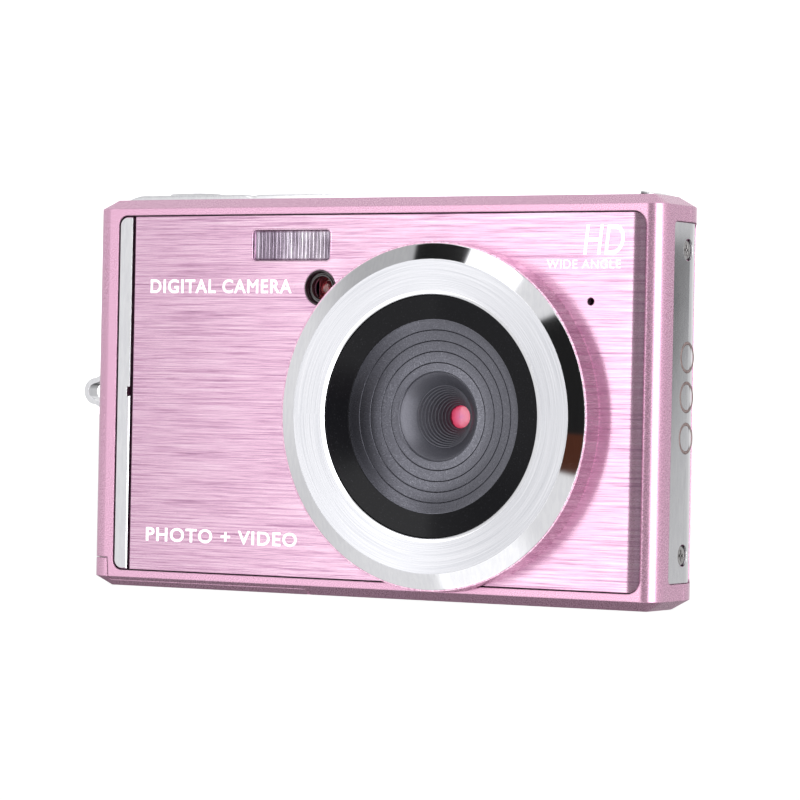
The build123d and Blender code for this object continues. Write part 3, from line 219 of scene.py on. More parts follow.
def tint(red, green, blue):
    """A colour from 0 to 255 values as seen on a screen, made linear."""
    def linear(level):
        if level > 10:
            return ((level / 255 + 0.055) / 1.055) ** 2.4
        return level / 3294.6

    return (linear(red), linear(green), linear(blue), 1.0)


# ------------------------------------------------------------------ materials
def pink_paint():
    """Satin pearl paint: a fine metallic grain under a soft coat."""
    s = Shader("pink_paint", Metallic=0.72, Roughness=0.27, Coat_Weight=0.15, Coat_Roughness=0.2)
    grain = s.noise(9000, detail=2.0)
    cloud = s.noise(60, detail=1.0)
    colour = s.ramp(grain, [(0.3, tint(196, 144, 174)), (0.7, tint(220, 176, 200))])
    coat = s.mix(s.spread(cloud, 0.0, 0.12), colour, tint(232, 196, 214))
    # Painted shade: the pocket behind the plate and its strip is darkened by place, standing in for the
    # shade in the seam round the plate.
    margin = 0.3 * mm
    half_width, half_height = (plate_high.x - strip_low.x) / 2, (plate_high.z - plate_low.z) / 2
    inside = s.both(
        s.math("LESS_THAN", s.off_middle("x", strip_low, plate_high), half_width + margin),
        s.math("LESS_THAN", s.off_middle("z", plate_low, plate_high), half_height + margin),
    )
    depth = s.axes()["Y"]
    sunk = s.both(
        s.math("GREATER_THAN", depth, front_y + margin),
        s.math("LESS_THAN", depth, plate_high.y + 0.1 * mm),
    )
    s.set("Base Color", s.mix(s.both(inside, sunk), coat, tint(52, 24, 40)))
    s.set("Roughness", s.spread(grain, 0.2, 0.34))
    s.surface(grain, strength=0.1, distance=0.00002, edge=0.00022)
    return s.material


def brushed_streaks(s, point, along, across):
    """Two layers of long thin streaks; along and across are per metre."""
    coarse = s.noise((along, 1.0, across), detail=3.0, roughness=0.62, point=point)
    fine = s.noise((along * 4.0, 1.0, across * 3.2), detail=2.0, roughness=0.6, point=point)
    return s.math("ADD", s.math("MULTIPLY", coarse, 0.62), s.math("MULTIPLY", fine, 0.38))


def brushed_plate():
    """Pink brushed metal, its streaks along the width."""
    s = Shader("brushed_pink_plate", Metallic=0.9, Roughness=0.22,
               Anisotropic=0.88, Anisotropic_Rotation=0.25)
    streaks = brushed_streaks(s, s.place(), 55.0, 3300.0)
    colour = s.ramp(streaks, [
        (0.34, tint(164, 120, 152)),
        (0.44, tint(202, 160, 187)),
        (0.52, tint(220, 181, 205)),
        (0.66, tint(232, 203, 220)),
    ])
    s.set("Base Color", colour)
    s.set("Roughness", s.spread(streaks, 0.34, 0.14))
    s.brushed_along("Z")
    s.surface(streaks, strength=0.3, distance=0.00005, edge=0.00012)
    return s.material


def brushed_collar():
    """The same metal turned into a ring, its streaks across the band."""
    s = Shader("brushed_pink_collar", Metallic=0.9, Roughness=0.26)
    right, up, depth = s.from_lens_axis()
    along_rim = s.math("MULTIPLY", s.math("ARCTAN2", up, right), collar_radius)
    point = s.node("ShaderNodeCombineXYZ", {"X": depth, "Z": along_rim}).outputs["Vector"]
    streaks = brushed_streaks(s, point, 60.0, 2600.0)
    colour = s.ramp(streaks, [
        (0.32, tint(176, 124, 154)),
        (0.48, tint(214, 168, 193)),
        (0.64, tint(240, 208, 224)),
    ])
    s.set("Base Color", colour)
    s.set("Roughness", s.spread(streaks, 0.4, 0.14))
    s.surface(streaks, strength=0.12, distance=0.00002)
    return s.material


def chrome(name="bright_chrome", edge=0.0001):
    """Bright chrome with faint unevenness."""
    s = Shader(name, Metallic=1.0, Roughness=0.05, Base_Color=grey(0.86))
    haze = s.noise(120, detail=2.0)
    rub = s.noise((2200, 2200, 400), detail=2.0)
    s.set("Roughness", s.spread(haze, 0.04, 0.08))
    s.set("Base Color", s.ramp(rub, [(0.35, tint(230, 230, 234)), (0.65, tint(236, 236, 239))]))
    s.surface(haze, strength=0.012, distance=0.0001, edge=edge)
    return s.material


def spun_chrome():
    """Satin chrome with turning marks round the lens axis."""
    s = Shader("spun_satin_chrome", Metallic=1.0, Roughness=0.24,
               Anisotropic=0.88, Anisotropic_Rotation=0.25)
    right, up, _ = s.from_lens_axis()
    angle = s.math("ARCTAN2", up, right)
    point = s.node("ShaderNodeCombineXYZ", {"X": s.length(right, up), "Y": angle}).outputs["Vector"]
    turned = s.noise((9000, 1.2, 1.0), detail=2.0, roughness=0.6, point=point)
    speck = s.noise(5200, detail=1.0)
    s.set("Base Color", s.ramp(turned, [(0.3, tint(178, 179, 184)), (0.7, tint(206, 206, 210))]))
    s.set("Roughness", s.spread(turned, 0.19, 0.28))
    s.brushed_along("Y")
    s.surface(s.math("ADD", turned, s.math("MULTIPLY", speck, 0.5)), strength=0.08, distance=0.00002)
    return s.material


def black_gloss():
    """Black gloss with the faintest dust."""
    s = Shader("black_gloss", Roughness=0.1, Specular_IOR_Level=0.15)
    dust = s.noise(6500, detail=0.0)
    s.set("Base Color", s.ramp(dust, [(0.70, tint(14, 14, 17)), (0.86, tint(44, 44, 48))]))
    s.set("Roughness", s.spread(s.noise(90), 0.08, 0.16))
    return s.material


def baffle_grain():
    """Dark grey with a fine sparkle, and painted shade on its left side."""
    s = Shader("sparkling_grey", Metallic=0.8, Roughness=0.32)
    grain = s.node("ShaderNodeTexVoronoi", {"Vector": s.stretched(9500), "Scale": 1.0})
    speck = s.node("ShaderNodeSeparateColor", {"Color": grain.outputs["Color"]}).outputs["Red"]
    sparkle = s.ramp(speck, [
        (0.0, tint(106, 106, 113)),
        (0.6, tint(114, 114, 121)),
        (0.9, tint(122, 122, 130)),
        (1.0, tint(140, 140, 147)),
    ])
    # Painted shade: the left side is darkened by place, standing in for the shade that falls on that side
    # of the dish.
    shade = s.ramp(s.share_across(baffle_low.x, baffle_high.x), [
        (0.08, tint(105, 105, 110)),
        (0.2, tint(165, 165, 170)),
        (0.36, tint(212, 212, 216)),
        (0.75, tint(240, 240, 243)),
    ])
    s.set("Base Color", s.mix(1.0, sparkle, shade, "MULTIPLY"))
    s.set("Roughness", s.spread(speck, 0.36, 0.26))
    s.surface(speck, strength=0.08, distance=0.00002)
    return s.material


def baffle_smooth():
    """The smoother grey of the funnel."""
    s = Shader("smooth_grey", Metallic=0.55, Roughness=0.42)
    grain = s.noise(7000, detail=1.0)
    s.set("Base Color", s.ramp(grain, [(0.3, tint(78, 78, 86)), (0.7, tint(92, 92, 100))]))
    s.surface(grain, strength=0.1, distance=0.00002)
    return s.material


def coated_glass():
    """The lens: a pink coating, with a painted glow so that it shows in the dark of the funnel."""
    s = Shader("coated_lens", Roughness=0.12, Coat_Weight=1.0, Coat_Roughness=0.03)
    right, up, _ = s.from_lens_axis()
    share = s.math("DIVIDE", s.length(right, up), glass_high.x - lens_x)
    mottle = s.math("ADD", share, s.math("MULTIPLY", s.noise(1800), 0.3))
    colour = s.ramp(mottle, [
        (0.2, tint(216, 92, 150)),
        (0.6, tint(238, 104, 140)),
        (0.95, tint(226, 70, 104)),
        (1.0, tint(120, 30, 50)),
    ])
    s.set("Base Color", colour)
    # Painted light: the lens glows in its own colour, though it is no lamp.
    s.set("Emission Color", colour)
    s.set("Emission Strength", 0.45)
    return s.material


def flash_glass():
    """Frosted, ribbed flash window over a bright reflector, with painted light and shade across its width.
    """
    s = Shader("flash_glass", Metallic=0.75, Roughness=0.22, Coat_Weight=0.7, Coat_Roughness=0.08)
    rough_ice = s.noise((500, 500, 300), detail=2.0, roughness=0.5)
    line = s.noise((1500, 500, 130), detail=1.0)
    mixed = s.math("ADD", s.math("MULTIPLY", rough_ice, 0.5), s.math("MULTIPLY", line, 0.5))
    ice = s.ramp(mixed, [
        (0.38, tint(146, 134, 148)),
        (0.5, tint(180, 170, 182)),
        (0.62, tint(216, 210, 218)),
    ])
    # Painted light and shade: a darker band on the left and a painted highlight from the middle to the
    # right, set by place across the width.
    shade = s.ramp(s.share_across(flash_low.x, flash_high.x), [
        (0.0, tint(225, 218, 228)),
        (0.1, tint(170, 158, 172)),
        (0.34, tint(190, 178, 192)),
        (0.46, tint(238, 233, 240)),
        (0.9, tint(250, 250, 250)),
        (1.0, tint(190, 180, 194)),
    ])
    s.set("Base Color", s.mix(1.0, ice, shade, "MULTIPLY"))
    s.set("Roughness", s.spread(rough_ice, 0.12, 0.4))
    s.surface(mixed, strength=0.2, distance=0.00005)
    return s.material


def clear_red():
    """The red lamp behind its window."""
    s = Shader("red_lamp", Roughness=0.15, Coat_Weight=1.0)
    mottle = s.noise(1500, detail=3.0)
    s.set("Base Color", s.ramp(mottle, [(0.35, tint(92, 26, 32)), (0.65, tint(168, 62, 66))]))
    s.surface(mottle, strength=0.4, distance=0.0002)
    return s.material


def plain(name, low, high, grain=1500, **sockets):
    """A simple finish that varies between two colours."""
    s = Shader(name, **sockets)
    texture = s.noise(grain, detail=3.0)
    s.set("Base Color", s.ramp(texture, [(0.32, low), (0.68, high)]))
    rough = sockets.get("Roughness", 0.5)
    s.set("Roughness", s.spread(texture, rough * 0.8, min(1.0, rough * 1.2)))
    s.surface(texture, strength=0.08, distance=0.00005, edge=0.0001)
    return s.material


def print_white():
    """Opaque white pad print, with a faint painted glow."""
    s = Shader("white_print", Roughness=0.45)
    grain = s.noise(5000, detail=2.0)
    s.set("Base Color", s.ramp(grain, [(0.3, grey(0.9)), (0.7, grey(0.96))]))
    # Painted light: a faint glow keeps the print white, though it is no lamp.
    s.set("Emission Color", grey(1.0))
    s.set("Emission Strength", 0.25)
    return s.material


def circuit_board():
    """Green solder mask with fine tracks."""
    s = Shader("circuit_board", Roughness=0.35, Coat_Weight=0.5, Coat_Roughness=0.15)
    tracks = s.node("ShaderNodeTexBrick", {
        "Vector": s.stretched(420),
        "Scale": 1.0,
        "Color1": tint(20, 92, 52),
        "Color2": tint(26, 104, 60),
        "Mortar": tint(60, 140, 84),
        "Mortar Size": 0.03,
    })
    s.set("Base Color", tracks.outputs["Color"])
    s.surface(tracks.outputs["Fac"], strength=0.2, distance=0.00003)
    return s.material


def display_glass():
    """Black glass over a dark display panel."""
    s = Shader("display_glass", Roughness=0.05, Coat_Weight=1.0, Coat_Roughness=0.02)
    low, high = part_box("display_module")
    half = (high - low) / 2
    lit_width, lit_height = 0.93, 0.87
    inside = s.both(
        s.math("LESS_THAN", s.off_middle("x", low, high), half.x * lit_width),
        s.math("LESS_THAN", s.off_middle("z", low, high), half.z * lit_height),
    )
    pixels = s.noise(3500, detail=0.0)
    panel = s.ramp(pixels, [(0.3, tint(34, 35, 39)), (0.7, tint(42, 43, 48))])
    s.set("Base Color", s.mix(inside, tint(10, 10, 12), panel))
    s.set("Roughness", s.spread(s.noise(70), 0.03, 0.09))
    return s.material


paint = pink_paint()
plate_metal = brushed_plate()
collar_metal = brushed_collar()
chrome_metal = chrome()
deck_chrome = chrome("deck_chrome", edge=0.00045)
spun_metal = spun_chrome()
gloss = black_gloss()
grain_grey = baffle_grain()
smooth_grey = baffle_smooth()
lens_coat = coated_glass()
flash_ice = flash_glass()
red = clear_red()
white = print_white()
board = circuit_board()
panel_glass = display_glass()
steel = plain("plain_steel", tint(150, 150, 154), tint(196, 196, 200), (300, 300, 4000),
              Metallic=1.0, Roughness=0.3)
screw_steel = plain("screw_steel", tint(150, 146, 146), tint(206, 204, 204), 2500,
                    Metallic=1.0, Roughness=0.22)
brass = plain("turned_brass", tint(178, 140, 78), tint(214, 180, 112), 3000,
              Metallic=1.0, Roughness=0.3)
matt_black = plain("matt_black", tint(18, 18, 20), tint(30, 30, 33), 4000, Roughness=0.6)
well_black = plain("well_black", tint(24, 12, 16), tint(44, 26, 32), 2500,
                   Roughness=0.2, Coat_Weight=0.8)
key_silver = plain("key_silver", tint(176, 176, 182), tint(204, 204, 209), 6000,
                   Metallic=0.7, Roughness=0.32, Coat_Weight=0.2)
battery_wrap = plain("battery_wrap", tint(58, 60, 66), tint(74, 76, 82), 900, Roughness=0.42)
card_blue = plain("card_blue", tint(20, 28, 58), tint(28, 38, 74), 3000, Roughness=0.45)
sleeve = plain("sleeve", tint(20, 20, 24), tint(34, 34, 40), (500, 500, 3000),
               Roughness=0.25, Coat_Weight=0.5)
silicon = plain("dark_package", tint(26, 26, 30), tint(40, 40, 46), 3500, Roughness=0.4)
mark_brown = plain("engraved_mark", tint(128, 110, 108), tint(158, 140, 138), 3000,
                   Metallic=0.6, Roughness=0.5)
mirror = plain("flash_reflector", tint(220, 220, 224), tint(244, 244, 246), 400,
               Metallic=1.0, Roughness=0.1)
green = plain("green_lamp", tint(90, 190, 110), tint(130, 220, 140), 2000,
              Roughness=0.15, Coat_Weight=1.0)
tube_clear = plain("tube_glass", tint(200, 204, 210), tint(228, 230, 236), 800,
                   Roughness=0.08, Transmission_Weight=0.8)

by_node = {
    paint: ["front_frame", "rear_shell", "battery_door"],
    plate_metal: ["face_plate"],
    chrome_metal: ["left_trim", "side_trim", "strap_lug", "shutter_button", "power_button"],
    deck_chrome: ["top_trim"],
    steel: ["chassis", "card_slot", "usb_connector", "board_screws", "door_pin", "rocker_pin",
            "shutter_spring", "key_switches", "top_switches"],
    screw_steel: ["side_screws", "bottom_screws"],
    matt_black: ["lens_barrel", "microphone", "speaker", "battery_contacts"],
    key_silver: ["ok_button", "mode_button", "playback_button", "menu_button", "delete_button",
                 "up_key", "down_key", "left_key", "right_key", "zoom_rocker"],
    board: ["sensor_board", "main_board", "key_board", "top_board"],
    battery_wrap: ["battery"],
    card_blue: ["memory_card"],
    sleeve: ["flash_capacitor"],
    mirror: ["flash_reflector"],
    green: ["status_light"],
    brass: ["tripod_socket"],
    red: ["lamp_led"],
    tube_clear: ["flash_tube", "rear_lens_glass", "infrared_filter"],
    panel_glass: ["display_window"],
    silicon: ["image_sensor", "processor", "display_module"],
}
for material, names in by_node.items():
    for name in names:
        mesh = nodes[name].data
        mesh.materials.clear()
        mesh.materials.append(material)


# ------------------------------------------------------------------ mesh helpers
def add_piece(name, mesh, materials, body="root", sharp=30):
    """Link a mesh as a piece that rides on a body."""
    for material in materials:
        mesh.materials.append(material)
    mesh.shade_smooth()
    mesh.set_sharp_from_angle(angle=math.radians(sharp))
    piece = bpy.data.objects.new(name, mesh)
    scene.collection.objects.link(piece)
    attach(piece, body)
    return piece


def circle(bm, middle_x, y, middle_z, radius, segments):
    """Vertices round a circle that faces along Y."""
    made = []
    for k in range(segments):
        angle = 2 * math.pi * k / segments
        x = middle_x + radius * math.cos(angle)
        z = middle_z + radius * math.sin(angle)
        made.append(bm.verts.new((x, y, z)))
    return made


def join_rows(bm, rows, closed=True):
    """Join rows of vertices, each row a closed loop, with four-sided faces."""
    pairs = list(zip(rows, rows[1:]))
    if closed:
        pairs.append((rows[-1], rows[0]))
    for first, second in pairs:
        for k in range(len(first)):
            n = (k + 1) % len(first)
            bm.faces.new([first[k], first[n], second[n], second[k]])


def finished(bm, name, outward=True):
    """The mesh that was being built, with its faces turned outward."""
    mesh = bpy.data.meshes.new(name)
    if outward:
        bmesh.ops.recalc_face_normals(bm, faces=bm.faces)
    bm.to_mesh(mesh)
    bm.free()
    return mesh


def rounded(profile, radius, steps=4):
    """A closed outline with its corners rounded, each by no more than its sides allow."""
    out = []
    count = len(profile)
    nearly_straight, most_of_side = math.radians(172), 0.45
    for i in range(count):
        before, here, after = (Vector(profile[(i + k) % count][:2]) for k in (-1, 0, 1))
        tag = profile[i][2] if len(profile[i]) > 2 else 0
        a, b = before - here, after - here
        angle = a.angle(b)
        if angle > nearly_straight:
            out.append((here.x, here.y, tag))
            continue
        longest = min(a.length, b.length) * most_of_side
        reach = min(radius / math.tan(angle / 2), longest)
        start, end = here + a.normalized() * reach, here + b.normalized() * reach
        for k in range(steps + 1):
            t = k / steps
            point = start.lerp(here, t).lerp(here.lerp(end, t), t)
            out.append((point.x, point.y, tag))
    return out


def spun(name, profile, materials, segments=256, closed=True, sharp=30):
    """A mesh turned about the lens axis from (radius, height in front of the face, material)."""
    bm = bmesh.new()
    on_axis = 1e-7
    rows = []
    for radius, height, _ in profile:
        if radius < on_axis:
            rows.append([bm.verts.new((lens_x, front_y - height, lens_z))])
        else:
            rows.append(circle(bm, lens_x, front_y - height, lens_z, radius, segments))
    pairs = list(zip(range(len(rows)), range(1, len(rows))))
    if closed:
        pairs.append((len(rows) - 1, 0))
    for i, j in pairs:
        first, second = rows[i], rows[j]
        for k in range(segments):
            n = (k + 1) % segments
            if len(first) == 1:
                corners = [first[0], second[n], second[k]]
            elif len(second) == 1:
                corners = [first[k], first[n], second[0]]
            else:
                corners = [first[k], first[n], second[n], second[k]]
            face = bm.faces.new(corners)
            face.material_index = profile[i][2]
    piece = add_piece(name, finished(bm, name), materials, sharp=sharp)
    piece.modifiers.new("even_shading", "WEIGHTED_NORMAL").keep_sharp = True
    return piece


def in_mm(points):
    """Profile points given in millimetres."""
    return [(r * mm, h * mm, *rest) for r, h, *rest in points]


def hand_over(node):
    """Let a finer piece take the place of a node of the model."""
    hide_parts(node)


# ------------------------------------------------------------------ lens group
collar_front = front_y - collar_low.y
ring_front = front_y - ring_low.y
border_front = front_y - border_low.y
border_back = front_y - border_high.y
baffle_radius = (baffle_high.x - baffle_low.x) / 2
border_radius = (border_high.x - border_low.x) / 2
pocket_floor = front_y - collar_high.y
border_bore = 13.64
crest_radius = 22.0 * mm


def build_collar():
    """The brushed collar, with a fine bead where it meets the ring."""
    outer = collar_radius
    band_width, step_width, step_depth = 2.2 * mm, 1.0 * mm, 0.2 * mm
    inner = outer - band_width
    profile = [
        (outer, collar_front, 0),
        (outer, -step_depth, 0),
        (outer - step_width, -step_depth, 0),
        (outer - step_width, pocket_floor, 0),
        (inner, pocket_floor, 0),
        (inner, collar_front, 0),
    ]
    piece = spun("collar_band", rounded(profile, 0.06 * mm), [collar_metal])
    hand_over("lens_collar")


def build_ring():
    """Chrome cone, spun face with a raised inner lip, and the skirt behind."""
    skirt = collar_radius - 2.3 * mm
    skirt_wall, face_wall = 1.0 * mm, 0.8 * mm
    polished, spun_face = 0, 1
    profile = [
        (collar_radius, collar_front, polished),
        (crest_radius, ring_front, spun_face),
        # the inner lip, falling to the bore
        (ring_bore + 0.55 * mm, ring_front - 0.2 * mm, polished),
        (ring_bore + 0.12 * mm, ring_front - 0.24 * mm, polished),
        (ring_bore, ring_front - 0.38 * mm, polished),
        (ring_bore, border_back - face_wall, polished),
        (skirt - skirt_wall, border_back - face_wall, polished),
        (skirt - skirt_wall, pocket_floor, polished),
        (skirt, pocket_floor, polished),
        (skirt, collar_front, polished),
    ]
    piece = spun("ring_face", rounded(profile, 0.07 * mm, 3), [chrome_metal, spun_metal])
    hand_over("lens_ring")


def build_border():
    """Black gloss border with eased edges."""
    bore = border_bore * mm
    fall, seat_gap = 0.72 * mm, 0.02 * mm
    profile = [
        (border_radius, border_front, 0),
        (bore, border_front - fall, 0),
        (bore, border_back - seat_gap, 0),
        (border_radius, border_back, 0),
    ]
    piece = spun("gloss_border", rounded(profile, 0.08 * mm), [gloss])
    hand_over("window_border")


def build_baffle():
    """A dished disc with shadow grooves, and a ringed funnel down to the lens."""
    # Radii and heights in millimetres; heights are in front of the body's face.
    radii = [border_bore, 12.2, 10.7, 9.2, 7.65, 6.35]
    top, bottom, sunk = 3.0, 1.5, 0.01
    groove_width, groove_wall, groove_depth = 0.1, 0.05, 0.14
    disc_radius, tube_wall = baffle_radius / mm, 1.0
    mouth = radii[-1]

    def dish(radius):
        return bottom + (top - bottom) * ((radius - mouth) / (radii[0] - mouth)) ** 2 - sunk

    rim_height, rim_inner = 3.05, 13.5
    points = [(disc_radius, rim_height, 0), (border_bore, rim_height, 0), (rim_inner, top, 0)]
    for outer, inner in zip(radii, radii[1:]):
        step = (outer - inner) / 4
        points += [(outer - groove_width, dish(outer) - groove_depth, 0)]
        points += [(outer - groove_width - groove_wall, dish(outer) - 0.02, 0)]
        points += [(outer - k * step, dish(outer - k * step) + 0.02 * k / 4, 0) for k in (1, 2, 3)]
        points += [(inner + 0.02, dish(inner) + 0.03, 0)]
    funnel_end, funnel_depth, funnel_outer, rings = 1.62, -5.08, 6.9, 10
    smooth_end, smooth_depth = 4.5, -0.35
    points += [
        (mouth - 0.1, bottom - 0.16, 1),
        (mouth - 0.22, bottom - 0.12, 1),
        (mouth - 0.5, bottom - 0.32, 1),
        (mouth - 0.8, bottom - 0.66, 1),
        (smooth_end, smooth_depth, 1),
    ]
    narrow = (smooth_end - funnel_end) / rings
    drop = (smooth_depth - funnel_depth) / rings
    for step in range(rings):
        radius = smooth_end - step * narrow
        level = smooth_depth - step * drop
        points += [
            (radius - narrow * 0.35, level - drop * 0.5, 1),
            (radius - narrow * 0.7, level - drop * 0.56, 1),
            (radius - narrow, level - drop, 1),
        ]
    points += [
        # back along the outside of the funnel, behind the disc and round its tube
        (funnel_outer, funnel_depth, 1),
        (funnel_outer, -2.4, 1),
        (mouth + 0.9, 0.1, 1),
        (disc_radius - tube_wall, bottom, 0),
        (disc_radius - tube_wall, pocket_floor / mm, 0),
        (disc_radius, pocket_floor / mm, 0),
    ]
    piece = spun("stepped_baffle", in_mm(points), [grain_grey, smooth_grey], sharp=20)
    hand_over("light_baffle")


def build_lens():
    """The small coated element at the end of the funnel."""
    rim = (glass_high.x - glass_low.x) / 2
    crown = front_y - glass_low.y
    back = front_y - glass_high.y
    steps, bulge = 12, 0.25 * mm
    profile = []
    for k in range(steps + 1):
        share = k / steps
        profile.append((rim * share, crown - bulge * share * share, 0))
    profile += [(rim, back, 0), (0.0, back, 0)]
    piece = spun("front_element", profile, [lens_coat], segments=96, closed=False)
    hand_over("lens_glass")


build_collar()
build_ring()
build_border()
build_baffle()
build_lens()


# ------------------------------------------------------------------ flash window
def build_flash():
    """A frosted window with close vertical ribs."""
    ribs, steps = 20, 8
    width, height = flash_high.x - flash_low.x, flash_high.z - flash_low.z
    front, back = flash_low.y, flash_high.y
    margin, edge, ribs_from = 0.28 * mm, 0.18 * mm, 1.6
    rib_depth, lip_depth, chamfer = 0.24 * mm, 0.12 * mm, 0.1 * mm
    ribbed = width - 2 * margin
    lip = front + lip_depth
    bm = bmesh.new()
    columns = []
    places = [0.0] + [margin + ribbed * k / (ribs * steps) for k in range(ribs * steps + 1)] + [width]
    for x in places:
        inside = margin <= x <= width - margin
        phase = (x - margin) / ribbed * ribs
        bulge = abs(math.sin(math.pi * phase)) if inside else 0.0
        depth = front + rib_depth * (1 - bulge)
        heights = [
            (0.0, lip + chamfer),
            (edge, lip),
            (edge * ribs_from, depth),
            (height - edge * ribs_from, depth),
            (height - edge, lip),
            (height, lip + chamfer),
        ]
        columns.append([bm.verts.new((flash_low.x + x, y, flash_low.z + z)) for z, y in heights])
    for first, second in zip(columns, columns[1:]):
        for k in range(len(first) - 1):
            bm.faces.new([first[k], second[k], second[k + 1], first[k + 1]])
    boundary = [e for e in bm.edges if e.is_boundary]
    made = bmesh.ops.extrude_edge_only(bm, edges=boundary)
    new_verts = [v for v in made["geom"] if isinstance(v, bmesh.types.BMVert)]
    for v in new_verts:
        v.co.y = back
    bmesh.ops.contextual_create(bm, geom=[e for e in bm.edges if e.is_boundary])
    piece = add_piece("ribbed_flash", finished(bm, "ribbed_flash"), [flash_ice], sharp=50)
    hand_over("flash_window")


build_flash()


def round_rectangle(centre_x, centre_z, width, height, corner, steps=8):
    """Points round a rectangle with rounded corners, as (x, z)."""
    points = []
    for turn, (sx, sz) in enumerate(((1, 1), (-1, 1), (-1, -1), (1, -1))):
        for k in range(steps + 1):
            angle = math.pi / 2 * (turn + k / steps)
            points.append((centre_x + sx * (width / 2 - corner) + corner * math.cos(angle),
                           centre_z + sz * (height / 2 - corner) + corner * math.sin(angle)))
    return points


def build_flash_lip():
    """The polished edge of the plate round the flash."""
    middle = (flash_low + flash_high) / 2
    width, height = flash_high.x - flash_low.x, flash_high.z - flash_low.z
    corner = 0.5
    # How far each line lies outside the window and behind the plate's face, in millimetres.
    profile = [(0.08, 0.5), (0.09, 0.02), (0.16, -0.06), (0.26, -0.06), (0.34, 0.02), (0.34, 0.3)]
    bm = bmesh.new()
    rows = []
    for grow, y in profile:
        outline = round_rectangle(middle.x, middle.z, width + 2 * grow * mm, height + 2 * grow * mm,
                                  (corner + grow) * mm)
        rows.append([bm.verts.new((x, plate_y + y * mm, z)) for x, z in outline])
    join_rows(bm, rows)
    piece = add_piece("flash_lip", finished(bm, "flash_lip"), [plate_metal])


build_flash_lip()


# ------------------------------------------------------------------ lamp window
def ring_about(name, centre, profile, materials, segments=96):
    """A closed mesh turned about an axis along Y through a centre, from (radius, y, material)."""
    bm = bmesh.new()
    join_rows(bm, [circle(bm, centre.x, y, centre.z, radius, segments) for radius, y, _ in profile])
    return add_piece(name, finished(bm, name), materials)


def build_lamp():
    """A dark stepped bezel round the red lamp."""
    centre = (lamp_low + lamp_high) / 2
    radius = (lamp_high.x - lamp_low.x) / 2
    floor = lamp_high.y
    # How far each corner lies inside the rim and in front of the floor, in millimetres.
    corners = [(0.0, 1.3), (0.16, 1.38), (0.34, 0.5), (0.55, 0.45),
               (0.62, 0.75), (0.82, 0.75), (0.9, 0.0), (0.0, 0.0)]
    profile = [(radius - inward * mm, floor - forward * mm, 0) for inward, forward in corners]
    piece = ring_about("lamp_bezel", centre, rounded(profile, 0.05 * mm, 2), [well_black])
    hand_over("lamp_window")


def build_lamp_lip():
    """The polished edge of the plate round the lamp."""
    centre = (lamp_low + lamp_high) / 2
    radius = (lamp_high.x - lamp_low.x) / 2
    # How far each corner lies outside the window and behind the plate's face, in millimetres.
    corners = [(0.05, 0.3), (0.05, 0.01), (0.11, -0.05), (0.17, -0.05), (0.23, 0.01), (0.23, 0.3)]
    profile = [(radius + outward * mm, plate_y + behind * mm, 0) for outward, behind in corners]
    piece = ring_about("lamp_lip", centre, profile, [plate_metal])


build_lamp()
build_lamp_lip()


# ------------------------------------------------------------------ printing
def print_text(name, words, left, base, size, weight, slant=0.0, stretch=1.0, spacing=1.0):
    """White words printed on the face plate, a hair thick."""
    thickness, surface_y = 0.02 * mm, plate_y - 0.012 * mm
    curve = bpy.data.curves.new(name, "FONT")
    curve.body = words
    curve.size = size
    curve.bevel_depth = weight
    curve.bevel_resolution = 0
    curve.space_character = spacing
    curve.shear = slant
    curve.extrude = 0.0
    curve.resolution_u = 6
    curve.align_x = "LEFT"
    text = bpy.data.objects.new(name + "_curve", curve)
    scene.collection.objects.link(text)
    bpy.context.view_layer.update()
    mesh = bpy.data.meshes.new_from_object(text.evaluated_get(bpy.context.evaluated_depsgraph_get()))
    bpy.data.objects.remove(text)
    mesh.name = name
    place = Matrix.Translation((left, surface_y, base)) @ Matrix.Rotation(math.pi / 2, 4, "X")
    mesh.transform(place @ Matrix.Diagonal((stretch, 1.0, thickness / (2 * weight), 1.0)))
    bm = bmesh.new()
    bm.from_mesh(mesh)
    bmesh.ops.remove_doubles(bm, verts=bm.verts, dist=1e-7)
    bm.to_mesh(mesh)
    bm.free()
    add_piece(name, mesh, [white])


def printing():
    """Generic white printing on the face plate."""
    left = frame_low.x + 9.7 * mm
    letters, bold = 2.75 * mm, 0.06 * mm
    print_text("print_upper", "DIGITAL CAMERA", left, 43.5 * mm, letters, bold, stretch=1.02, spacing=1.12)
    print_text("print_lower", "PHOTO + VIDEO", left, 6.95 * mm, letters, bold, stretch=1.15, spacing=1.13)
    corner, corner_letters = plate_high.x - 9.9 * mm, 6.0 * mm
    print_text("print_corner", "HD", corner, 48.9 * mm, corner_letters, 0.03 * mm, slant=0.15, stretch=0.74)
    line, line_letters = plate_high.x - 15.2 * mm, 1.7 * mm
    print_text("print_corner_line", "WIDE ANGLE", line, 47.0 * mm, line_letters, 0.015 * mm,
               stretch=1.03, spacing=1.12)


printing()


def side_marks():
    """Three plain engraved rings on the side trim."""
    behind_middle = 0.6 * mm
    middle_y = (side_low.y + side_high.y) / 2 + behind_middle
    mark_heights = (35.0, 29.5, 23.8)
    # The radius of each line and how far it stands out of the trim, in millimetres.
    profile = ((1.75, 0.0), (1.8, 0.012), (2.15, 0.012), (2.2, 0.0))
    segments = 64
    angles = [2 * math.pi * k / segments for k in range(segments)]
    for number, height in enumerate(mark_heights):
        name = f"side_mark_{number}"
        bm = bmesh.new()
        rows = [
            [bm.verts.new((side_high.x + out * mm, middle_y + radius * mm * math.cos(angle),
                           height * mm + radius * mm * math.sin(angle))) for angle in angles]
            for radius, out in profile
        ]
        join_rows(bm, rows)
        piece = add_piece(name, finished(bm, name), [mark_brown])


side_marks()

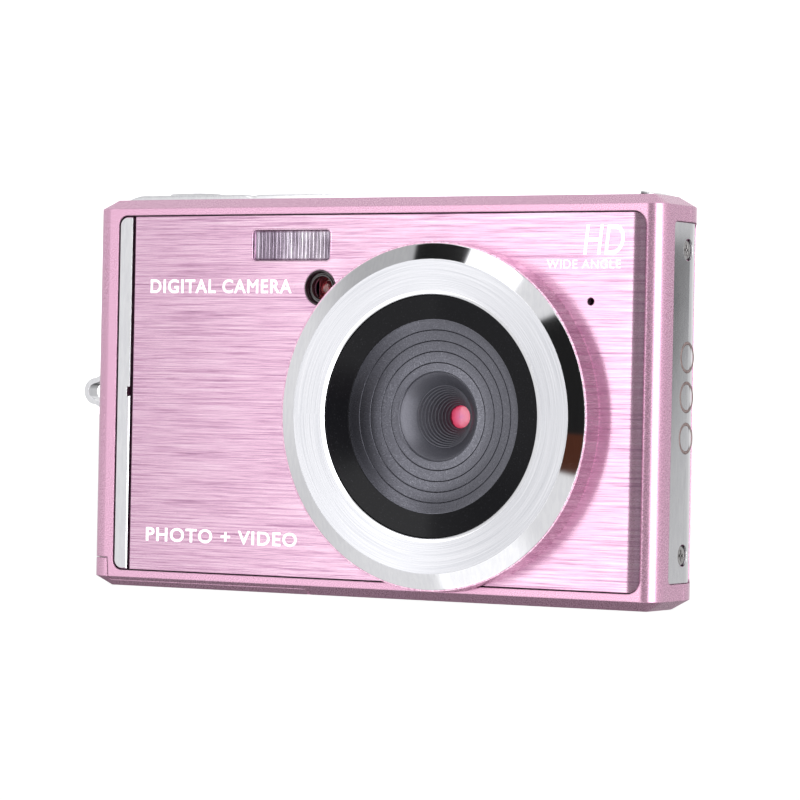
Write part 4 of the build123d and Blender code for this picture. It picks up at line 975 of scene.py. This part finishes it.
# ------------------------------------------------------------------ camera
# The view was solved from the object's own proportions: azimuth and distance of
# the lens, and a slight tilt of the frame.
azimuth = math.radians(29.90)
tilt = math.radians(-1.122)
lens_distance = 511.2 * mm
aim = Vector((6.079 * mm, front_y, 28.357 * mm))
right = Vector((math.cos(azimuth), math.sin(azimuth), 0.0))
back = Vector((math.sin(azimuth), -math.cos(azimuth), 0.0))
up = back.cross(right)
camera_x = math.cos(tilt) * right - math.sin(tilt) * up
camera_y = math.sin(tilt) * right + math.cos(tilt) * up
camera_data = bpy.data.cameras.new("camera")
camera_data.sensor_width = 36.0
camera_data.lens = 162.4
camera_data.clip_start = 0.01
camera_data.clip_end = 20.0
camera = bpy.data.objects.new("camera", camera_data)
scene.collection.objects.link(camera)
turn = Matrix((camera_x, camera_y, back)).transposed()
camera.matrix_world = Matrix.Translation(aim + back * lens_distance) @ turn.to_4x4()
scene.camera = camera

# ------------------------------------------------------------------ studio
scene.view_settings.view_transform = "Standard"
scene.view_settings.look = "None"
scene.view_settings.exposure = 0.0


def softbox(name, azimuth_deg, elevation_deg, distance, size, power):
    """A soft rectangular light aimed at the object, and not seen in reflections."""
    a, e = math.radians(azimuth_deg), math.radians(elevation_deg)
    away = Vector((math.sin(a) * math.cos(e), -math.cos(a) * math.cos(e), math.sin(e)))
    data = bpy.data.lights.new(name, "AREA")
    data.shape = "RECTANGLE"
    data.size, data.size_y = size
    data.energy = power
    piece = bpy.data.objects.new(name, data)
    piece.visible_glossy = False
    scene.collection.objects.link(piece)
    middle = Vector((0, 0, 30 * mm))
    facing = away.to_track_quat("Z", "Y").to_matrix().to_4x4()
    piece.matrix_world = Matrix.Translation(middle + away * distance) @ facing


def build_world():
    """A white tent with soft panels of light and dark, placed by direction.

    Azimuth is measured from -Y towards +X and elevation upwards, both in degrees.
    """
    world = bpy.data.worlds.new("studio")
    world.use_nodes = True
    world.node_tree.nodes.clear()
    g = Graph(world.node_tree)
    way = g.node("ShaderNodeSeparateXYZ", {"Vector": g.node("ShaderNodeTexCoord").outputs["Generated"]})
    turned_y = g.math("MULTIPLY", way.outputs["Y"], -1.0)
    around = g.math("DEGREES", g.math("ARCTAN2", way.outputs["X"], turned_y))
    above = g.math("DEGREES", g.math("ARCSINE", way.outputs["Z"]))

    def window(value, low, high, soft):
        middle, half = (low + high) / 2, (high - low) / 2
        away = g.math("ABSOLUTE", g.math("SUBTRACT", value, middle))
        limits = {"From Min": half - soft, "From Max": half + soft, "To Min": 1.0, "To Max": 0.0}
        made = g.node("ShaderNodeMapRange", {"Value": away, **limits}, interpolation_type="SMOOTHSTEP")
        return made.outputs["Result"]

    level = grey(0.86)
    panels = [
        # azimuth from, to, softness; elevation from, to, softness; level
        (-400, -75, 30, -100, -8, 12, 0.36),
        (75, 400, 30, -100, -8, 12, 0.36),
        (-400, 400, 1, 55, 130, 15, 0.72),
        (110, 175, 14, -25, 50, 10, 0.62),
        (-180, -90, 10, -75, -25, 6, 0.1),
        (40, 82, 5, -42, 55, 8, 4.0),
        (-31.5, -8, 1.2, -60, 55, 12, 2.25),
        (-62, -38, 6.0, 8, 46, 6.0, 0.5),
        (-32, -4, 4.0, -42, -10, 5.0, 1.2),
        (-9, 15, 1.0, -13, -3, 0.6, tint(80, 46, 34)),
        (-9, 15, 1.0, -3.7, 23.5, 0.5, 0.015),
        (14, 38, 2.0, -14, 22, 4.0, 0.1),
        (-41.8, -24.8, 0.6, 25, 40, 1.0, 0.015),
    ]
    for az0, az1, az_soft, el0, el1, el_soft, amount in panels:
        share = g.both(window(around, az0, az1, az_soft), window(above, el0, el1, el_soft))
        level = g.mix(share, level, amount if isinstance(amount, tuple) else grey(amount))
    # A narrow black flag with a slanted lower end, which the side trim mirrors as a soft wedge.
    flag_from, flag_to, flag_top = 153.5, 155.0, 2.6
    slant_from, slant_per_degree, slant_base = 154.4, 5.2, 0.25
    slant = g.math("MULTIPLY", g.math("SUBTRACT", around, slant_from), slant_per_degree)
    over_slant = g.math("GREATER_THAN", g.math("SUBTRACT", above, slant), slant_base)
    tall = g.both(over_slant, g.math("LESS_THAN", above, flag_top))
    wide = g.both(g.math("LESS_THAN", around, flag_to), g.math("GREATER_THAN", around, flag_from))
    level = g.mix(g.both(tall, wide), level, grey(0.02))
    background = g.node("ShaderNodeBackground", {"Color": level, "Strength": 1.0})
    output = g.node("ShaderNodeOutputWorld")
    g.tree.links.new(background.outputs[0], output.inputs[0])
    scene.world = world


def build_floor():
    """A wide pale floor that sweeps up into a round white backdrop."""
    bm = bmesh.new()
    reach, bend, top, steps, segments = 6.0, 1.5, 7.0, 8, 64
    profile = []
    for k in range(steps + 1):
        angle = k / steps * math.pi / 2
        profile.append((reach - bend + bend * math.sin(angle), bend - bend * math.cos(angle)))
    profile.append((reach, top))
    angles = [2 * math.pi * k / segments for k in range(segments)]
    rows = [[bm.verts.new((r * math.cos(a), r * math.sin(a), z)) for a in angles] for r, z in profile]
    bm.faces.new(rows[0])
    join_rows(bm, rows, closed=False)
    mesh = finished(bm, "floor", outward=False)
    mesh.shade_smooth()
    s = Shader("floor", Roughness=0.9)
    grain = s.noise(300, detail=2.0)
    s.set("Base Color", s.ramp(grain, [(0.3, grey(0.38)), (0.7, grey(0.42))]))
    s.set("Emission Color", grey(1.0))
    s.set("Emission Strength", 1.02)
    mesh.materials.append(s.material)
    floor = bpy.data.objects.new("floor", mesh)
    floor.location.z = -0.02 * mm
    floor.visible_glossy = False
    floor.visible_diffuse = False
    floor.visible_transmission = False
    floor.visible_shadow = False
    scene.collection.objects.link(floor)


build_world()
build_floor()
softbox("key_upper_left", -48, 38, 1.0, (0.5, 0.5), 1.2)
